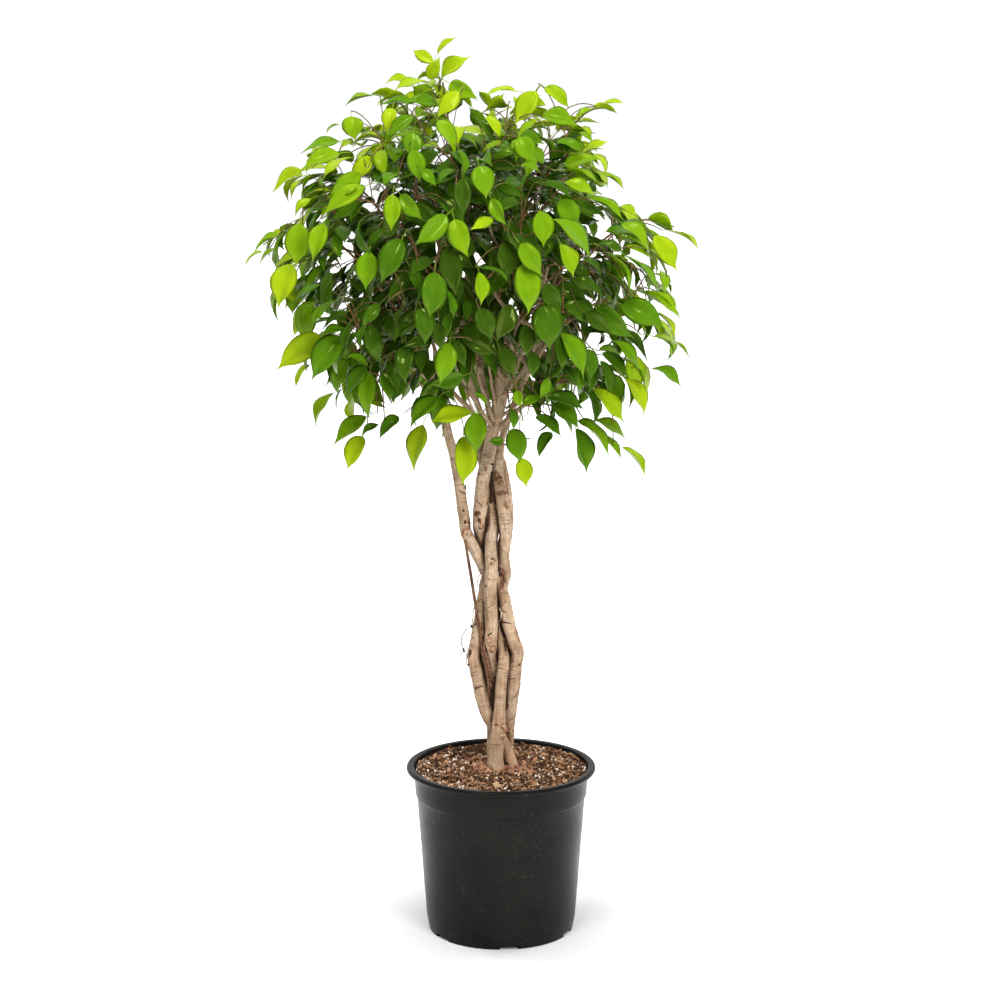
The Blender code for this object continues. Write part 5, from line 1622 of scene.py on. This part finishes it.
def front_leaf(across, up, turn, length, width, tone, others):
    """A listed leaf: where it is seen, its depth and its matrix."""
    size, angle = length / 1000, math.radians(turn)
    x, z = CROWN_CENTRE.x + across / 1000, CROWN_CENTRE.z + up / 1000
    end_x, end_z = x + size * math.sin(angle), z - size * math.cos(angle)
    seen = ((x + end_x) / 2, (z + end_z) / 2)
    depth = front_depth(*seen)
    for other in others:
        if math.dist(seen, other["seen"]) < 0.45 * (size + other["size"]) and abs(depth - other["depth"]) < 0.007:
            depth = other["depth"] + LEAF_ROOM
    start, end = in_sight(x, z, depth), in_sight(end_x, end_z, depth - 0.004)
    pointing = (end - start).normalized()
    facing = Vector((across / 700, -1.0, 0.05)) + Vector([random.gauss(0, 0.13) for _ in range(3)])
    normal = (facing - pointing * facing.dot(pointing)).normalized()
    if width < 0.9:
        roll = math.acos(width / 0.95)
        beside = pointing.cross(normal)
        beside *= 1 if beside.z > 0 else -1
        normal = normal * math.cos(roll) + beside * math.sin(roll)
        width = 0.95
    turned = Matrix((pointing.cross(normal), pointing, normal)).transposed().to_4x4()
    size = (end - start).length * 1.05
    place = Matrix.Translation(start) @ turned @ Matrix.Diagonal((size * width, size, size, 1.0))
    # Painted light and shade: paler near the crown's outline seen from the front, darker toward its middle.
    tone += RIM_PAINTED_LIGHT * (rim_share(Vector((seen[0], 0.0, seen[1]))) - RIM_LIGHT_MIDDLE)
    return {"place": place, "tone": min(tone, 1.0), "seen": seen, "depth": depth, "size": size}


PLACED = []
for row in FRONT_LEAVES:
    PLACED.append(front_leaf(*row, PLACED))
wood = all_points()
for leaf in PLACED:
    WOOD.append(side_shoot(leaf["place"] @ Vector(STALK[0]), wood, leafy=False))
print("leaves set by hand:", len(PLACED))

# %% [markdown]
# ### A clear view
# The listed leaves and the open fork of the trunk should be seen. So a grown leaf that would hide one of them is
# left out, and a twig stops where it would cross in front of one.
# %% Keep the view of them clear
# The fork's window in the trunk's plane, as its two x and its two heights, and the depth where leaves may start.
FORK_WINDOW = (-0.062, 0.040, 0.615, 0.722)
FORK_DEPTH = 0.03


def covers(spot, leaf, share):
    """Whether a spot in the trunk's plane lies over a listed leaf, within a share of its length."""
    return math.dist(spot, leaf["seen"]) < share * leaf["size"]


def in_the_way(place):
    """Whether a leaf would hide a listed one, or the open fork of the trunk."""
    middle = place @ Vector((0.0, 0.5, 0.0))
    x, z = seen_at(middle)
    left, right, low, high = FORK_WINDOW
    if left < x < right and low < z < high and middle.y < FORK_DEPTH:
        return True
    return any(middle.y < leaf["depth"] + LEAF_ROOM and covers((x, z), leaf, 0.60) for leaf in PLACED)


def behind_leaves(line):
    """A twig up to where it would cross in front of a listed leaf."""
    for index, row in enumerate(line):
        spot = seen_at(Vector(row[:3]))
        if index > 2 and any(row[1] < leaf["depth"] and covers(spot, leaf, 0.46) for leaf in PLACED):
            return line[:index]
    return line


def shoots_of(name):
    """The CAD nodes of the leafy shoots that a stem feeds."""
    return [one["node"] for one in WOOD if one["stem"] == name and one["node"]]


print("leafy shoots of each stem:", {name: len(shoots_of(name)) for name in SECTORS})

# %% [markdown]
# ### Limbs and twigs
# A stem's limbs are one piece, which stands for the stem's node as its bark does. Its twigs are another, which stands
# for the nodes of the leafy shoots, and they turn green toward their tips.
# %% Wrap the limbs and twigs
for name in SECTORS:
    edit = bmesh.new()
    for one in WOOD:
        if one["stem"] == name and one["limb"]:
            wrap(edit, one["limb"], 8)
    make_piece(edit, f"{name}_limbs", LIMB_BARK, "fig_bark", name)
    edit = bmesh.new()
    young = edit.verts.layers.float.new("young")
    for one in WOOD:
        if one["stem"] == name:
            old = len(edit.verts)
            wrap(edit, behind_leaves(one["shoot"]) if one["leafy"] else one["shoot"], 5)
            edit.verts.ensure_lookup_table()
            start, tip = Vector(one["shoot"][0][:3]), Vector(one["shoot"][-1][:3])
            for vert in edit.verts[old:]:
                vert[young] = min(max(1.6 * (vert.co - start).length / (tip - start).length - 0.7, 0.0), 0.85)
    make_piece(edit, f"{name}_twigs", TWIG_BARK, "fig_bark", *shoots_of(name))

# %% [markdown]
# The fork is open in front, so the thin limbs that leave it show. They run up into the leaves.
# %% Limbs in the fork
# Each as where it starts and ends, how far it arches up, and its first and last radius.
FORK_LIMBS = (
    ((-0.014, -0.016, 0.650), (-0.092, -0.040, 0.744), -0.010, 0.0027, 0.0014),
    ((-0.012, -0.018, 0.655), (-0.064, -0.060, 0.756), -0.006, 0.0025, 0.0012),
    ((-0.010, -0.018, 0.662), (-0.042, -0.055, 0.768), -0.004, 0.0027, 0.0014),
    ((-0.020, -0.012, 0.640), (-0.054, -0.045, 0.738), -0.008, 0.0018, 0.0010),
    ((-0.006, -0.018, 0.668), (-0.020, -0.050, 0.778), 0.000, 0.0023, 0.0012),
    ((-0.022, -0.010, 0.656), (-0.078, -0.030, 0.720), 0.006, 0.0016, 0.0008),
    ((0.000, -0.018, 0.690), (0.052, -0.045, 0.766), -0.004, 0.0031, 0.0016),
    ((0.004, -0.016, 0.700), (0.030, -0.055, 0.786), 0.000, 0.0025, 0.0012),
    ((0.002, -0.014, 0.668), (0.090, -0.040, 0.735), 0.004, 0.0022, 0.0010),
    ((0.006, -0.010, 0.676), (0.070, -0.020, 0.718), 0.006, 0.0016, 0.0008),
    ((-0.004, -0.016, 0.628), (0.036, -0.030, 0.642), 0.002, 0.0014, 0.0008),
    ((-0.070, -0.004, 0.656), (-0.104, -0.020, 0.690), 0.004, 0.0015, 0.0008),
    ((-0.072, -0.004, 0.664), (-0.118, -0.010, 0.730), 0.002, 0.0018, 0.0010),
)
edit = bmesh.new()
for start, tip, lift, first, last in FORK_LIMBS:
    line = arched(Vector(start), Vector(tip), lift, first, last, 12)
    sway = [0.0016 * noise.noise_vector(Vector(row[:3]) * 60.0) * min(index / 3, 1) for index, row in enumerate(line)]
    wrap(edit, [(*(Vector(row[:3]) + push), row[3]) for row, push in zip(line, sway)], 10)
make_piece(edit, "fork_limbs", LIMB_BARK, "fig_bark")

# %% [markdown]
# ### Leaf finish
# The upper face is glossy, with a pale midrib and faint side veins, and the underside is dull and greyer. The UV
# map of a pattern runs across and along its blade, and the underside's map lies one unit to the right, so one
# material can tell them apart.
# %% Leaf material
def leaf_material():
    """The finish of both faces of a leaf."""
    made, tree, shader = new_material("fig leaf")
    place = tree.nodes.new("ShaderNodeTexCoord")
    parts = tree.nodes.new("ShaderNodeSeparateXYZ")
    join(tree, place.outputs["UV"], parts.inputs[0])
    under = maths(tree, "GREATER_THAN", parts.outputs["X"], 1.0001)
    across = off_half(tree, parts.outputs["X"])
    along = parts.outputs["Y"]
    tone = add(tree, "ShaderNodeAttribute", attribute_name="tone").outputs["Fac"]
    patch = swung(tree, grain(tree, place.outputs["Object"], 60.0, 3.0), 0.24)
    edge = maths(tree, "MULTIPLY", maths(tree, "SUBTRACT", across, 0.2), 0.14)
    green = ramp(
        tree, maths(tree, "ADD", maths(tree, "ADD", tone, patch), edge),
        (0.0, (0.004, 0.026, 0.001)), (0.25, (0.010, 0.060, 0.001)), (0.45, (0.032, 0.122, 0.001)),
        (0.60, (0.082, 0.220, 0.001)), (0.75, (0.150, 0.315, 0.001)), (0.88, (0.240, 0.405, 0.001)),
        (1.0, (0.400, 0.540, 0.003)),
    )
    slant = maths(tree, "ADD", along, maths(tree, "MULTIPLY", across, -0.55))
    wave = off_half(tree, maths(tree, "MULTIPLY", slant, 9.0))
    veins = ramp(tree, wave, (0.0, 1.0), (0.16, 0.0))
    midrib = ramp(tree, across, (0.006, 1.0), (0.030, 0.0))
    veined = blend(tree, maths(tree, "MULTIPLY", veins, 0.16), green, (0.26, 0.44, 0.03))
    ribbed = blend(tree, maths(tree, "MULTIPLY", midrib, 0.46), veined, (0.42, 0.56, 0.08))
    dull = blend(tree, 0.50, green, (0.18, 0.32, 0.07))
    below = blend(tree, maths(tree, "MULTIPLY", midrib, 0.5), dull, (0.36, 0.50, 0.18))
    colour = blend(tree, under, ribbed, below)
    join(tree, colour, shader.inputs["Base Color"])
    gloss = maths(tree, "ADD", maths(tree, "MULTIPLY", under, 0.25), maths(tree, "MULTIPLY_ADD", tone, 0.16, 0.13))
    join(tree, gloss, shader.inputs["Roughness"])
    shader.inputs["Specular IOR Level"].default_value = 0.42
    shader.inputs["Specular Tint"].default_value = (0.82, 1.0, 0.24, 1.0)
    relief = maths(tree, "ADD", maths(tree, "MULTIPLY", veins, -0.2), maths(tree, "MULTIPLY", midrib, -1.0))
    uneven = maths(tree, "ADD", relief, maths(tree, "MULTIPLY", grain(tree, place.outputs["Object"], 150.0, 2.0), 2.0))
    bump(tree, uneven, 0.30, 0.0005, shader)
    glow = add(tree, "ShaderNodeBsdfTranslucent")
    join(tree, blend(tree, maths(tree, "MULTIPLY", tone, 0.45), colour, (0.42, 0.62, 0.004)), glow.inputs["Color"])
    mixed = add(tree, "ShaderNodeMixShader")
    mixed.inputs[0].default_value = 0.20
    join(tree, shader.outputs[0], mixed.inputs[1])
    join(tree, glow.outputs[0], mixed.inputs[2])
    output = next(node for node in tree.nodes if node.type == "OUTPUT_MATERIAL")
    join(tree, mixed.outputs[0], output.inputs["Surface"])
    return made


LEAF = leaf_material()
print("leaf finish:", LEAF.name)

# %% [markdown]
# ### The leaves on the plant
# Each stem's leaves are one piece, which stands for its shoots' nodes as the twigs do. The listed leaves are a
# piece of their own.
# %% Leaves on the plant
grown = 0
for name in SECTORS:
    edit = bmesh.new()
    edit.verts.layers.float.new("tone")
    for one in WOOD:
        if one["stem"] == name and one["leafy"]:
            for place, tone in leaves_of(one):
                if not in_the_way(place):
                    add_copy(edit, random.choice(PATTERNS), place, tone)
                    grown += 1
    make_piece(edit, f"{name}_leaves", LEAF, "fig_leaf", *shoots_of(name))
edit = bmesh.new()
edit.verts.layers.float.new("tone")
for index, leaf in enumerate(PLACED):
    add_copy(edit, FINE_PATTERNS[3 * index % len(FINE_PATTERNS)], leaf["place"], leaf["tone"])
make_piece(edit, "front_leaves", LEAF, "fig_leaf")
print("leaves:", grown + len(PLACED))
